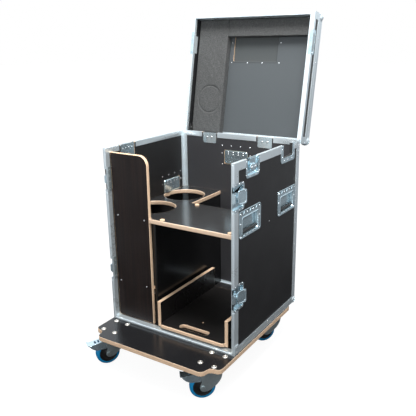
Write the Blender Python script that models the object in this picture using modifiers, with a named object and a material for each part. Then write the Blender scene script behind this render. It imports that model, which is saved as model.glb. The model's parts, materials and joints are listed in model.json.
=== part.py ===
"""Flight case on a castor board, lid open: metres, +Z up, every number a named size."""
import math

import bmesh
import bpy
from mathutils import Matrix, Vector

# Body: x across, y from the front face back, z from the castor board's top face
WIDTH = 0.600
DEPTH = 0.550
HEIGHT = 0.743
GAP = 0.0003
ALU = 0.0015
PLY = 0.0095
PROFILE = PLY + 2 * ALU + 2 * GAP
LEG = 0.030
INNER = 0.022
SKIN = ALU + GAP
Z0 = GAP
HALF = WIDTH / 2
INSIDE_X = HALF - PROFILE - GAP
INSIDE_Y = DEPTH - PROFILE - GAP
FLOOR_TOP = Z0 + SKIN + PLY

# Castor board and castors
BOARD_SIDE = 0.004
BOARD_AHEAD = 0.155
BOARD_SHORT = 0.004
BOARD_HALF = HALF + BOARD_SIDE
BOARD_FRONT = -BOARD_AHEAD
BOARD_REAR = DEPTH - BOARD_SHORT
BOARD_THICK = 0.018
CASTOR_INSET = 0.0635
CASTOR_FROM_FRONT = 0.0977
CASTOR_FROM_REAR = 0.1025
CASTOR_X = BOARD_HALF - CASTOR_INSET
FRONT_CASTOR_Y = BOARD_FRONT + CASTOR_FROM_FRONT
REAR_CASTOR_Y = BOARD_REAR - CASTOR_FROM_REAR
BOLT_DX = 0.030
BOLT_DY = 0.040
BOLT_R = 0.0042
BOLT_HEAD_R = 0.0085
BOLT_HEAD_H = 0.0022
NUT_R = 0.0065
NUT_H = 0.0045
PLATE_X = 0.0425
PLATE_Y = 0.0525
PLATE_T = 0.003
RACE_R = 0.030
RACE_H = 0.0065
WHEEL_R = 0.050
WHEEL_W = 0.034
TRAIL = 0.0415
CASTOR_TALL = 0.137
GROUND = -BOARD_THICK - CASTOR_TALL
AXLE_Z = GROUND + WHEEL_R
AXLE_R = 0.0058
FORK_T = 0.003
FORK_IN = WHEEL_W / 2 + 0.0022
PEDAL_HALF = FORK_IN - GAP
PEDAL_PIN = (TRAIL + 0.0050, AXLE_Z + WHEEL_R + 0.0057)
PEDAL_PIN_R = 0.0016
PEDAL_LONG = 0.080
PEDAL_SKIRT = 0.0015
PEDAL_SKIRT_LOW = 0.0310
PEDAL_SHEET = 0.003
PLATE_Z = -BOARD_THICK - GAP - PLATE_T
CASTOR_ANGLE = {"front_left": -122.5, "front_right": -141.0, "rear_left": -115.0, "rear_right": -127.0}

# Handles: centres along y and z on the side walls, along x on the rear wall
HANDLE_W = 0.168
HANDLE_H = 0.105
POCKET_W = 0.122
POCKET_H = 0.066
POCKET_DEPTH = 0.0144
SHEET = 0.0012
HANDLE_Z = 0.508
HANDLE_FRONT_Y = 0.119
HANDLE_FROM_REAR = 0.114
HANDLE_REAR_Y = DEPTH - HANDLE_FROM_REAR
HANDLE_BACK_X = -0.002
HANDLE_BACK_Z = 0.645
POCKET_LOW = 0.008

# Latches
LATCH_L = 0.104
LATCH_W = 0.072
LATCH_DEPTH = 0.0090
LATCH_EDGE = 0.009
LID_LATCH_Y = 0.135
DOOR_LATCH_Z = (0.233, 0.617)
WING_R = 0.0165
WING_TILT = 15.0

# Rear hinges
HINGE_X = 0.1415
HINGE_W = 0.082
HINGE_LOW = HEIGHT - 0.055
PIN_Y = DEPTH - 0.0035
PIN_Z = HEIGHT - 0.0125
PIN_R = 0.0022
KNUCKLE_R = 0.0048

# Cable port in the right wall, with its distances from the rear and the top
PORT_W = 0.090
PORT_FROM_REAR = 0.070
PORT_DEEP = 0.0524
PORT_R = 0.008
PORT_RIM = 0.0200
PORT_Y = (DEPTH - PORT_FROM_REAR - PORT_W, DEPTH - PORT_FROM_REAR)
PORT_Z = HEIGHT - PORT_DEEP

# Inside
FACE_Y = 0.0245
FACE_T = 0.0147
FACE_W = 0.1843
FACE_X = (-INSIDE_X + GAP, -INSIDE_X + GAP + FACE_W)
FACE_TOP = HEIGHT - 0.018
FACE_R = 0.042
BEHIND = FACE_Y + FACE_T + GAP
SHELF_Z = 0.456
SHELF_T = 0.018
SHELF_X = HALF - SKIN - POCKET_DEPTH - 2 * GAP
SHELF_DEPTH = 0.300
BOARD_T = 0.015
DIVIDER_X = (FACE_X[1] + 0.003, FACE_X[1] + 0.003 + BOARD_T)
STRIP_X = DIVIDER_X[1] + 0.001
HOLE_R = 0.0915
HOLE_X = -0.190
HOLE_Y = (0.170, 0.395)
PEG_R = 0.010
PEG_TALL = 0.0048
PEG_X = (-0.045, SHELF_X - 0.0212)
PEG_Y = (0.036, SHELF_DEPTH - 0.019)
LOWER_SHELF_Z = 0.168
LINER_T = 0.012
RUNNER_T = 0.0114
RUNNER_LEFT_T = 0.0124
RUNNER_TALL = 0.045
RUNNER_LOW = 0.048
LINER_X = INSIDE_X - LINER_T
TRAY_X = (DIVIDER_X[1] + RUNNER_LEFT_T + 2 * GAP, LINER_X - RUNNER_T - 2 * GAP)
TRAY_Y = (0.0035, 0.438)
TRAY_Z = 0.0195
TRAY_T = 0.015
TRAY_TALL = 0.109
SLOT_X = 0.0915
SLOT_HALF = 0.0665
SLOT_R = 0.014
SLOT_Y = 0.0415

# Lid, built closed and turned open about the hinge pin
LID_GAP = 0.0013
LID_SHORT = 0.005
LID_H = 0.088
LID_OPEN = 101.0
LID_RIM_OUT = 0.018
LID_RIM_IN = 0.015
FOAM_T = 0.0326
FOAM_SIDE_W = 0.1543
FOAM_FRONT_W = 0.0734
LABEL_W = 0.220
LABEL_L = 0.112
LABEL_FROM_FRONT = 0.088
LABEL_DEEP = 0.0045
CATCH_HALF = 0.033
CATCH_TALL = 0.026
BALL_R = 0.0203
BALL_IN = 0.014

# Finishes: colour, metallic, roughness
FINISH = {
    "film": ((0.045, 0.042, 0.045), 0.0, 0.45),
    "face": ((0.030, 0.018, 0.018), 0.0, 0.40),
    "wood": ((0.700, 0.480, 0.300), 0.0, 0.60),
    "aluminium": ((0.780, 0.800, 0.810), 1.0, 0.35),
    "zinc": ((0.560, 0.620, 0.650), 1.0, 0.30),
    "steel": ((0.300, 0.330, 0.340), 0.8, 0.40),
    "rubber": ((0.020, 0.020, 0.022), 0.0, 0.70),
    "tyre": ((0.010, 0.160, 0.450), 0.0, 0.50),
    "foam": ((0.120, 0.120, 0.122), 0.0, 0.95),
}

for startup in list(bpy.data.objects):
    bpy.data.objects.remove(startup, do_unlink=True)
case = bpy.data.collections.new("flight_case")
cutters = bpy.data.collections.new("cutters")
for group in (case, cutters):
    bpy.context.scene.collection.children.link(group)
root = bpy.data.objects.new("flight_case_root", None)
case.objects.link(root)
parts = {}
origins = {}
materials = {}


def finish(name):
    """One Principled material for each finish."""
    if name not in materials:
        colour, metallic, roughness = FINISH[name]
        material = bpy.data.materials.new(name)
        material.use_nodes = True
        shader = material.node_tree.nodes["Principled BSDF"]
        shader.inputs["Base Color"].default_value = colour + (1.0,)
        shader.inputs["Metallic"].default_value = metallic
        shader.inputs["Roughness"].default_value = roughness
        material.diffuse_color = colour + (1.0,)
        materials[name] = material
    return materials[name]


def tool(name, data):
    """A loose piece waiting to be joined, or a cutter: kept out of the render."""
    thing = bpy.data.objects.new(name, data)
    cutters.objects.link(thing)
    thing.hide_render = True
    thing.display_type = "WIRE"
    return thing


def solid(maker):
    """What a curve or a modifier makes, as one welded mesh facing out."""
    bpy.context.view_layer.update()
    graph = bpy.context.evaluated_depsgraph_get()
    mesh = bpy.data.meshes.new_from_object(maker.evaluated_get(graph))
    mesh.transform(maker.matrix_world)
    data = bmesh.new()
    data.from_mesh(mesh)
    for vert in data.verts:
        vert.co = [round(value, 6) for value in vert.co]
    bmesh.ops.remove_doubles(data, verts=data.verts, dist=1e-6)
    bmesh.ops.dissolve_limit(data, angle_limit=math.radians(0.01), verts=data.verts, edges=data.edges)
    bmesh.ops.recalc_face_normals(data, faces=data.faces)
    data.to_mesh(mesh)
    data.free()
    name = maker.name
    bpy.data.objects.remove(maker, do_unlink=True)
    return tool(name, mesh)


def box(name, low, high):
    """An axis-aligned box between two corners, given in either order."""
    low, high = [min(a, b) for a, b in zip(low, high)], [max(a, b) for a, b in zip(low, high)]
    mesh = bpy.data.meshes.new(name)
    data = bmesh.new()
    bmesh.ops.create_cube(data, size=1.0)
    size = [high[i] - low[i] for i in range(3)]
    middle = [(high[i] + low[i]) / 2 for i in range(3)]
    data.transform(Matrix.Translation(middle) @ Matrix.Diagonal(size + [1.0]))
    for vert in data.verts:
        vert.co = [round(value, 6) for value in vert.co]
    data.to_mesh(mesh)
    data.free()
    return tool(name, mesh)


def prism(name, outline, low, high, axis="Z"):
    """A closed outline pushed from low to high along an axis; its pairs follow x, y, z order."""
    low, high = min(low, high), max(low, high)
    curve = bpy.data.curves.new(name, "CURVE")
    curve.dimensions = "2D"
    curve.fill_mode = "BOTH"
    curve.extrude = (high - low) / 2
    spline = curve.splines.new("POLY")
    spline.points.add(len(outline) - 1)
    for point, (first, second) in zip(spline.points, outline):
        point.co = (first, second, 0.0, 1.0)
    spline.use_cyclic_u = True
    maker = bpy.data.objects.new(name, curve)
    cutters.objects.link(maker)
    turn = {"X": Matrix(((0, 0, 1, 0), (1, 0, 0, 0), (0, 1, 0, 0), (0, 0, 0, 1))),
            "Y": Matrix(((1, 0, 0, 0), (0, 0, -1, 0), (0, 1, 0, 0), (0, 0, 0, 1))),
            "Z": Matrix.Identity(4)}[axis]
    along = {"X": (1, 0, 0), "Y": (0, 1, 0), "Z": (0, 0, 1)}[axis]
    maker.matrix_world = Matrix.Translation(Vector(along) * (low + high) / 2) @ turn
    return solid(maker)


def turned(name, profile, steps=32):
    """A profile of (radius, height) pairs turned about Z; it closes on itself or on the axis."""
    mesh = bpy.data.meshes.new(name)
    edges = [(i, i + 1) for i in range(len(profile) - 1)]
    if profile[0][0] > 0:
        edges.append((len(profile) - 1, 0))
    mesh.from_pydata([(radius, 0.0, height) for radius, height in profile], edges, [])
    maker = tool(name, mesh)
    screw = maker.modifiers.new("turn", "SCREW")
    screw.steps = steps
    screw.render_steps = steps
    screw.use_merge_vertices = True
    screw.merge_threshold = 0.00001
    return solid(maker)


def disc(centre, radius, steps=16):
    """Points of a circle."""
    turn = [2 * math.pi * i / steps for i in range(steps)]
    return [(centre[0] + radius * math.cos(a), centre[1] + radius * math.sin(a)) for a in turn]


def rounded(low, high, radii, steps=3):
    """A rectangle with a radius at each corner, from the low corner anticlockwise; one value does all."""
    if not hasattr(radii, "__len__"):
        radii = (radii,) * 4
    corners = ((low[0], low[1], 180), (high[0], low[1], 270), (high[0], high[1], 0), (low[0], high[1], 90))
    points = []
    for (x, y, start), radius in zip(corners, radii):
        if radius <= 0:
            points.append((x, y))
            continue
        cx = x + radius if x == low[0] else x - radius
        cy = y + radius if y == low[1] else y - radius
        for i in range(steps + 1):
            a = math.radians(start + 90 * i / steps)
            points.append((cx + radius * math.cos(a), cy + radius * math.sin(a)))
    return points


def place(thing, matrix):
    """Move the mesh itself."""
    thing.data.transform(matrix)
    thing.data.update()
    return thing


def combine(base, tools, operation):
    """One exact Boolean with all the tools together; the tools go."""
    batch = bpy.data.collections.new("batch")
    for item in tools:
        batch.objects.link(item)
    modifier = base.modifiers.new("join", "BOOLEAN")
    modifier.operation = operation
    modifier.solver = "EXACT"
    modifier.operand_type = "COLLECTION"
    modifier.collection = batch
    bpy.context.view_layer.update()
    graph = bpy.context.evaluated_depsgraph_get()
    result = bpy.data.meshes.new_from_object(base.evaluated_get(graph))
    base.modifiers.remove(modifier)
    base.data = result
    for item in tools:
        bpy.data.objects.remove(item, do_unlink=True)
    bpy.data.collections.remove(batch)
    return base


def union(base, *tools):
    return combine(base, tools, "UNION")


def cut(base, *tools):
    return combine(base, tools, "DIFFERENCE")


def node(name, thing, look, origin=None, parent=None):
    """Finish a piece: clean mesh, material, origin on its own axis, and its parent."""
    data = bmesh.new()
    data.from_mesh(thing.data)
    bmesh.ops.remove_doubles(data, verts=data.verts, dist=2e-6)
    bmesh.ops.dissolve_limit(data, angle_limit=math.radians(0.05), verts=data.verts, edges=data.edges)
    bmesh.ops.triangulate(data, faces=data.faces)
    if origin is None:
        xs, ys, zs = zip(*[vert.co for vert in data.verts])
        origin = [(min(c) + max(c)) / 2 for c in (xs, ys, zs)]
    origin = Vector(origin)
    data.transform(Matrix.Translation(-origin))
    mesh = bpy.data.meshes.new(name)
    data.to_mesh(mesh)
    data.free()
    mesh.shade_smooth()
    mesh.set_sharp_from_angle(angle=math.radians(32))
    mesh.materials.append(finish(look))
    bpy.data.objects.remove(thing, do_unlink=True)
    piece = bpy.data.objects.new(name, mesh)
    case.objects.link(piece)
    piece.parent = parts[parent] if parent else root
    piece.location = origin - (origins[parent] if parent else Vector((0, 0, 0)))
    parts[name] = piece
    origins[name] = origin
    return piece


def wall(side, along, up):
    """Local axes on a wall: x along it, y up, z outward from the panel's outer face."""
    face = HALF - SKIN
    if side == "right":
        return Matrix(((0, 0, 1, face), (1, 0, 0, along), (0, 1, 0, up), (0, 0, 0, 1)))
    if side == "left":
        return Matrix(((0, 0, -1, -face), (-1, 0, 0, along), (0, 1, 0, up), (0, 0, 0, 1)))
    return Matrix(((-1, 0, 0, along), (0, 0, 1, DEPTH - SKIN), (0, 1, 0, up), (0, 0, 0, 1)))


def section(points, a0, b0, flip_a=False, flip_b=False):
    """A profile's points set out from its corner at (a0, b0), each way turned over or not."""
    return [(a0 - a if flip_a else a0 + a, b0 - b if flip_b else b0 + b) for a, b in points]


def u_points(outer, inner):
    """U profile on a panel's edge: first number across the edge from the outside, second down the legs."""
    p = PROFILE
    return [(0, 0), (p, 0), (p, inner), (p - ALU, inner), (p - ALU, ALU), (ALU, ALU), (ALU, outer),
            (0, outer)]


def angle_points():
    """Double angle where two panels meet: outer legs, solid web, inner legs."""
    p = PROFILE
    return [(0, 0), (LEG, 0), (LEG, ALU), (p, ALU), (p, p - ALU), (INNER, p - ALU), (INNER, p), (p, p),
            (p, INNER), (p - ALU, INNER), (p - ALU, p), (ALU, p), (ALU, LEG), (0, LEG)]


def corner_ball(x, y, z, sx, sy, sz):
    """Rounded corner cap outside the corner at (x, y, z); the signs point into the case."""
    half = [math.pi * (i / 8 - 0.5) for i in range(9)]
    ball = turned("ball", [(BALL_R * math.cos(a) if 0 < i < 8 else 0.0, BALL_R * math.sin(a))
                           for i, a in enumerate(half)], 16)
    place(ball, Matrix.Translation((x + sx * BALL_IN, y + sy * BALL_IN, z + sz * BALL_IN)))
    far = 4 * BALL_R
    skin = ALU * 0.66
    inside = box("inside", (x + sx * skin, y + sy * skin, z + sz * skin),
                 (x + sx * far, y + sy * far, z + sz * far))
    return cut(ball, inside)


# Castor board with S-shaped corners
STEP = ((0.0670, 0.0), (0.0550, 0.0050), (0.0485, 0.0150), (0.0456, 0.0285), (0.0400, 0.0385),
        (0.0300, 0.0435), (0.0176, 0.0455), (0.0080, 0.0500), (0.0020, 0.0570), (0.0, 0.0660))
corner = [(BOARD_HALF - a, BOARD_FRONT + b) for a, b in STEP]
rear_corner = [(BOARD_HALF - a, BOARD_REAR - b) for a, b in STEP]
outline = corner + rear_corner[::-1]
outline += [(-x, y) for x, y in rear_corner] + [(-x, y) for x, y in corner[::-1]]
board = prism("board", outline, -BOARD_THICK, 0.0)
holes = []
for cx in (-CASTOR_X, CASTOR_X):
    for sx in (-BOLT_DX, BOLT_DX):
        for sy in (-BOLT_DY, BOLT_DY):
            spot = disc((cx + sx, FRONT_CASTOR_Y + sy), BOLT_R + GAP, 10)
            holes.append(prism("hole", spot, -BOARD_THICK - 0.002, 0.002))
node("castor_board", cut(board, *holes), "wood")

# Castors: plate with its bolts, fork, wheel, and a brake pedal on the front two
for end, cy in (("front", FRONT_CASTOR_Y), ("rear", REAR_CASTOR_Y)):
    for side, sign in (("left", -1), ("right", 1)):
        where = end + "_" + side
        cx = sign * CASTOR_X
        plate = prism("plate", rounded((cx - PLATE_X, cy - PLATE_Y), (cx + PLATE_X, cy + PLATE_Y), 0.010),
                      PLATE_Z, PLATE_Z + PLATE_T)
        race = turned("race", [(0, PLATE_Z + 0.001), (RACE_R, PLATE_Z + 0.001),
                               (RACE_R * 0.95, PLATE_Z - RACE_H),
                               (0, PLATE_Z - RACE_H)], 24)
        pieces = [place(race, Matrix.Translation((cx, cy, 0)))]
        for sx in (-BOLT_DX, BOLT_DX):
            for sy in (-BOLT_DY, BOLT_DY):
                spot = (cx + sx, cy + sy)
                pieces.append(prism("nut", disc(spot, NUT_R, 6), PLATE_Z - NUT_H, PLATE_Z + 0.001))
                if end == "rear":
                    continue
                pieces.append(prism("bolt", disc(spot, BOLT_R, 10), PLATE_Z + 0.001, BOLT_HEAD_H - 0.0005))
                head = turned("head", [(0, 0.0002), (BOLT_HEAD_R, 0.0002),
                                       (BOLT_HEAD_R * 0.86, BOLT_HEAD_H * 0.75),
                                       (0, BOLT_HEAD_H)], 12)
                pieces.append(place(head, Matrix.Translation((spot[0], spot[1], 0))))
        node("castor_plate_" + where, union(plate, *pieces), "zinc")
        # fork, local x toward the wheel's centre
        turn = Matrix.Rotation(math.radians(CASTOR_ANGLE[where]), 4, "Z")
        heading = Matrix.Translation((cx, cy, 0)) @ turn
        top = PLATE_Z - RACE_H - GAP
        crown = turned("crown", [(0, top), (0.027, top), (0.0305, top - 0.004), (0.0305, top - 0.0075),
                                 (0, top - 0.0075)], 24)
        px, pz = PEDAL_PIN
        # cheek: broad under the crown, bellied behind and narrowing to the axle
        cheek = [(-0.0290, top - 0.0010), (0.0260, top - 0.0010), (px + 0.0035, pz + 0.0045),
                 (px + 0.0040, pz - 0.0040), (TRAIL + 0.0035, AXLE_Z + 0.0240),
                 (TRAIL + 0.0090, AXLE_Z + 0.0100), (TRAIL + 0.0110, AXLE_Z),
                 (TRAIL + 0.0095, AXLE_Z - 0.0080), (TRAIL + 0.0030, AXLE_Z - 0.0140),
                 (TRAIL - 0.0060, AXLE_Z - 0.0160), (TRAIL - 0.0180, AXLE_Z - 0.0140),
                 (0.0110, AXLE_Z - 0.0080), (0.0000, AXLE_Z + 0.0020), (-0.0120, AXLE_Z + 0.0120),
                 (-0.0220, AXLE_Z + 0.0250), (-0.0290, AXLE_Z + 0.0380),
                 (-0.0325, AXLE_Z + 0.0530), (-0.0315, top - 0.0080)]
        wide = FORK_IN + FORK_T
        pieces = [prism("web", [(-0.022, -wide), (0.0285, -wide), (0.0285, wide), (-0.022, wide)],
                        top - 0.0065, top - 0.0035),
                  prism("axle", disc((TRAIL, AXLE_Z), AXLE_R, 12), -wide - 0.004, wide + 0.004, "Y")]
        if end == "front":
            pieces.append(prism("pin", disc(PEDAL_PIN, PEDAL_PIN_R, 8), -wide + 0.001, wide - 0.001, "Y"))
        for lean in (-1, 1):
            pieces.append(prism("cheek", cheek, lean * FORK_IN, lean * wide, "Y"))
            nut = disc((TRAIL, AXLE_Z), 0.0095, 6)
            pieces.append(prism("nut", nut, lean * (wide - 0.001), lean * (wide + 0.0055), "Y"))
        fork = place(union(crown, *pieces), heading)
        node("castor_fork_" + where, fork, "steel", (cx, cy, top), "castor_plate_" + where)
        # wheel turned about its axle: bore, hub, web and tread
        half = WHEEL_W / 2
        bore = AXLE_R + 2 * GAP
        wheel = turned("wheel", [(bore, -half), (0.0150, -half), (0.0165, -half + 0.004),
                                 (0.0345, -half + 0.004), (0.0365, -half + 0.0005),
                                 (WHEEL_R - 0.0025, -half + 0.0020), (WHEEL_R, -half + 0.009),
                                 (WHEEL_R, half - 0.009), (WHEEL_R - 0.0025, half - 0.0020),
                                 (0.0365, half - 0.0005), (0.0345, half - 0.004),
                                 (0.0165, half - 0.004), (0.0150, half), (bore, half)], 32)
        axle_turn = Matrix.Rotation(math.radians(90), 4, "X")
        place(wheel, heading @ Matrix.Translation((TRAIL, 0, AXLE_Z)) @ axle_turn)
        centre = heading @ Vector((TRAIL, 0, AXLE_Z))
        node("castor_wheel_" + where, wheel, "tyre", centre, "castor_fork_" + where)
        if end == "front":
            # lever: a block on its pin, a sheet over the wheel with a raised toe, and a skirt down each side
            high = pz + 0.0033
            toe = px + PEDAL_LONG
            sheet = high - PEDAL_SHEET
            skirt_low = pz - PEDAL_SKIRT_LOW
            side = [(px - 0.0035, pz - 0.0032), (px + 0.0045, pz - 0.0032), (px + 0.0045, sheet),
                    (px + 0.0175, sheet), (toe - 0.0120, sheet - 0.0075), (toe - 0.0010, sheet - 0.0050),
                    (toe, high - 0.0055), (toe - 0.0010, high - 0.0045), (toe - 0.0120, high - 0.0075),
                    (px + 0.0175, high), (px - 0.0035, high)]
            skirt = [(px - 0.0030, sheet + 0.001), (px - 0.0030, pz - 0.0240), (px + 0.0040, skirt_low),
                     (px + 0.0420, skirt_low), (toe - 0.0230, pz - 0.0240), (toe - 0.0130, pz - 0.0150),
                     (toe - 0.0060, sheet - 0.0050), (toe - 0.0120, sheet - 0.0065),
                     (px + 0.0175, sheet + 0.001)]
            pedal = prism("pedal", side, -PEDAL_HALF, PEDAL_HALF, "Y")
            skirts = [prism("skirt", skirt, PEDAL_HALF - PEDAL_SKIRT, PEDAL_HALF, "Y"),
                      prism("skirt", skirt, -PEDAL_HALF, PEDAL_SKIRT - PEDAL_HALF, "Y")]
            slots = []
            for along in (px + 0.0280, px + 0.0420):
                slots.append(box("slot", (along, -0.0100, pz - 0.010),
                                 (along + 0.0070, 0.0100, high + 0.002)))
            pin_bore = prism("bore", disc(PEDAL_PIN, PEDAL_PIN_R + GAP, 8), -0.03, 0.03, "Y")
            pedal = cut(union(pedal, *skirts), *slots, pin_bore)
            place(pedal, heading)
            hinge = heading @ Vector((px, 0, pz))
            node("brake_pedal_" + where, pedal, "zinc", hinge, "castor_fork_" + where)

# Panels, each with the cut-outs of what is let into it
PANEL_LOW = Z0 + PROFILE + GAP
PANEL_TOP = HEIGHT - SKIN
node("floor_panel", box("floor", (-INSIDE_X, SKIN, Z0 + SKIN), (INSIDE_X, INSIDE_Y, FLOOR_TOP)), "film")
POCKET_SPOT = ((-POCKET_W / 2, -POCKET_H / 2 - POCKET_LOW), (POCKET_W / 2, POCKET_H / 2 - POCKET_LOW))
POCKET_R = 0.0045
EASE = 0.0005


def grown(pair, by):
    """A rectangle's two corners moved out by a margin."""
    return (pair[0][0] - by, pair[0][1] - by), (pair[1][0] + by, pair[1][1] + by)


def handle_hole(side, along, up):
    low, high = grown(POCKET_SPOT, EASE)
    return place(prism("hole", rounded(low, high, POCKET_R + EASE), -0.030, 0.010), wall(side, along, up))


LATCH_CUT = LATCH_L / 2 - LATCH_EDGE + 0.001
for side, sign in (("left", -1), ("right", 1)):
    x_out = sign * (HALF - SKIN)
    x_in = sign * (HALF - SKIN - PLY)
    panel = box("panel", (x_out, SKIN, PANEL_LOW), (x_in, INSIDE_Y, PANEL_TOP))
    tools = [handle_hole(side, HANDLE_FRONT_Y, HANDLE_Z), handle_hole(side, HANDLE_REAR_Y, HANDLE_Z)]
    far = x_out + sign * 0.01
    near = x_in - sign * 0.01
    for z in DOOR_LATCH_Z:
        outline = rounded((-0.01, z - LATCH_CUT), (LATCH_W - LATCH_EDGE + 0.001, z + LATCH_CUT),
                          (0, 0.008, 0.008, 0))
        tools.append(prism("hole", outline, near, far, "X"))
    outline = rounded((LID_LATCH_Y - LATCH_CUT, HEIGHT - LATCH_W + LATCH_EDGE - 0.001),
                      (LID_LATCH_Y + LATCH_CUT, HEIGHT + 0.01), (0.008, 0.008, 0, 0))
    tools.append(prism("hole", outline, near, far, "X"))
    if side == "right":
        edge = SHEET + GAP
        outline = rounded((PORT_Y[0] - edge, PORT_Z - edge), (PORT_Y[1] + edge, HEIGHT + 0.01),
                          (PORT_R + edge, PORT_R + edge, 0, 0))
        tools.append(prism("hole", outline, near, far, "X"))
    node(side + "_panel", cut(panel, *tools), "film")

HINGE_CUT = HINGE_W / 2 - 0.006
tools = [handle_hole("back", HANDLE_BACK_X, HANDLE_BACK_Z)]
for sign in (-1, 1):
    outline = rounded((sign * HINGE_X - HINGE_CUT, HINGE_LOW + 0.006),
                      (sign * HINGE_X + HINGE_CUT, HEIGHT + 0.01),
                      (0.008, 0.008, 0, 0))
    tools.append(prism("hole", outline, DEPTH - 0.03, DEPTH + 0.01, "Y"))
back = box("back", (-INSIDE_X, DEPTH - SKIN - PLY, PANEL_LOW), (INSIDE_X, DEPTH - SKIN, PANEL_TOP))
node("back_panel", cut(back, *tools), "film")

# Frame of the body: front rim, bottom and rear angles, corner caps, and the short top rims in front
POST_TOP = HEIGHT - LEG - GAP
RIM_END = LID_LATCH_Y - LATCH_L / 2 - GAP
frame = prism("frame", section(angle_points(), -HALF, Z0), 0, DEPTH, "Y")
pieces = [prism("angle", section(angle_points(), HALF, Z0, True), 0, DEPTH, "Y"),
          prism("angle", section(angle_points(), DEPTH, Z0, True), -HALF, HALF, "X")]
front = [(b, a + Z0) for a, b in u_points(LEG, INNER)]
pieces.append(prism("front", front, -HALF, HALF, "X"))
for sign in (-1, 1):
    pieces.append(prism("post", section(angle_points(), sign * HALF, DEPTH, sign > 0, True), Z0, POST_TOP))
    pieces.append(prism("front", section(u_points(LEG, INNER), sign * HALF, 0.0, sign > 0), Z0, HEIGHT))
    pieces.append(prism("short", section(u_points(LEG, INNER), sign * HALF, HEIGHT, sign > 0, True), 0,
                        RIM_END, "Y"))
frame = union(frame, *pieces)
tools = []
for sign in (-1, 1):
    for z in DOOR_LATCH_Z:
        half = LATCH_L / 2 + GAP
        tools.append(box("notch", (sign * (HALF - PROFILE + ALU + GAP), -0.01, z - half),
                         (sign * (HALF + 0.01), LEG + 0.01, z + half)))
frame = cut(frame, *tools)
pieces = []
for sign in (-1, 1):
    pieces.append(corner_ball(sign * HALF, DEPTH, Z0, -sign, -1, 1))
    pieces.append(box("foot", (sign * (HALF - ALU / 2), 0.003, Z0 + 0.003),
                      (sign * (HALF + 0.0014), 0.029, Z0 + 0.040)))
node("case_frame", union(frame, *pieces), "aluminium")

# Top rims: left with its rear corner, between the hinges, right with the cable port's frame
RIM_START = LID_LATCH_Y + LATCH_L / 2 + GAP
for side, sign in (("left", -1), ("right", 1)):
    rim = prism("rim", section(u_points(LEG, INNER), sign * HALF, HEIGHT, sign > 0, True), RIM_START, DEPTH,
                "Y")
    rear = prism("rear", section(u_points(LEG, INNER), DEPTH, HEIGHT, True, True),
                 sign * HALF, sign * (HINGE_X + HINGE_W / 2 + GAP), "X")
    outside = HALF + 0.0014
    upper = box("bracket", (sign * (HALF - ALU / 2), DEPTH - 0.060, HEIGHT - 0.028),
                (sign * outside, DEPTH - 0.004, HEIGHT - 0.005))
    lower = box("bracket", (sign * (HALF + GAP), DEPTH - 0.030, HEIGHT - 0.050),
                (sign * outside, DEPTH - 0.004, HEIGHT - 0.006))
    rim = union(rim, rear, upper, lower)
    if side == "right":
        rim = cut(rim, box("gap", (HALF - 0.03, PORT_Y[0], HEIGHT - 0.06),
                           (HALF + 0.01, PORT_Y[1], HEIGHT + 0.01)))
        shell = HALF - ALU / 4
        flange = prism("flange", rounded((PORT_Y[0] - PORT_RIM, PORT_Z - PORT_RIM),
                                         (PORT_Y[1] + PORT_RIM, HEIGHT - 0.001), (0.012, 0.012, 0, 0)),
                       HALF - SKIN + GAP, shell, "X")
        lining = prism("lining", rounded((PORT_Y[0] - SHEET, PORT_Z - SHEET),
                                         (PORT_Y[1] + SHEET, HEIGHT - 0.0005),
                                         (PORT_R + SHEET, PORT_R + SHEET, 0, 0)), INSIDE_X - GAP, shell,
                       "X")
        inner = prism("inner", rounded((PORT_Y[0], PORT_Z), (PORT_Y[1], HEIGHT + 0.01),
                                       (PORT_R, PORT_R, 0, 0)),
                      HALF - 0.04, HALF + 0.01, "X")
        rim = cut(union(rim, flange, lining), inner)
    node("top_rim_" + side, rim, "aluminium")
middle = HINGE_X - HINGE_W / 2 - GAP
rim = prism("rim", section(u_points(LEG, INNER), DEPTH, HEIGHT, True, True), -middle, middle, "X")
node("top_rim_rear", rim, "aluminium")

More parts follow.
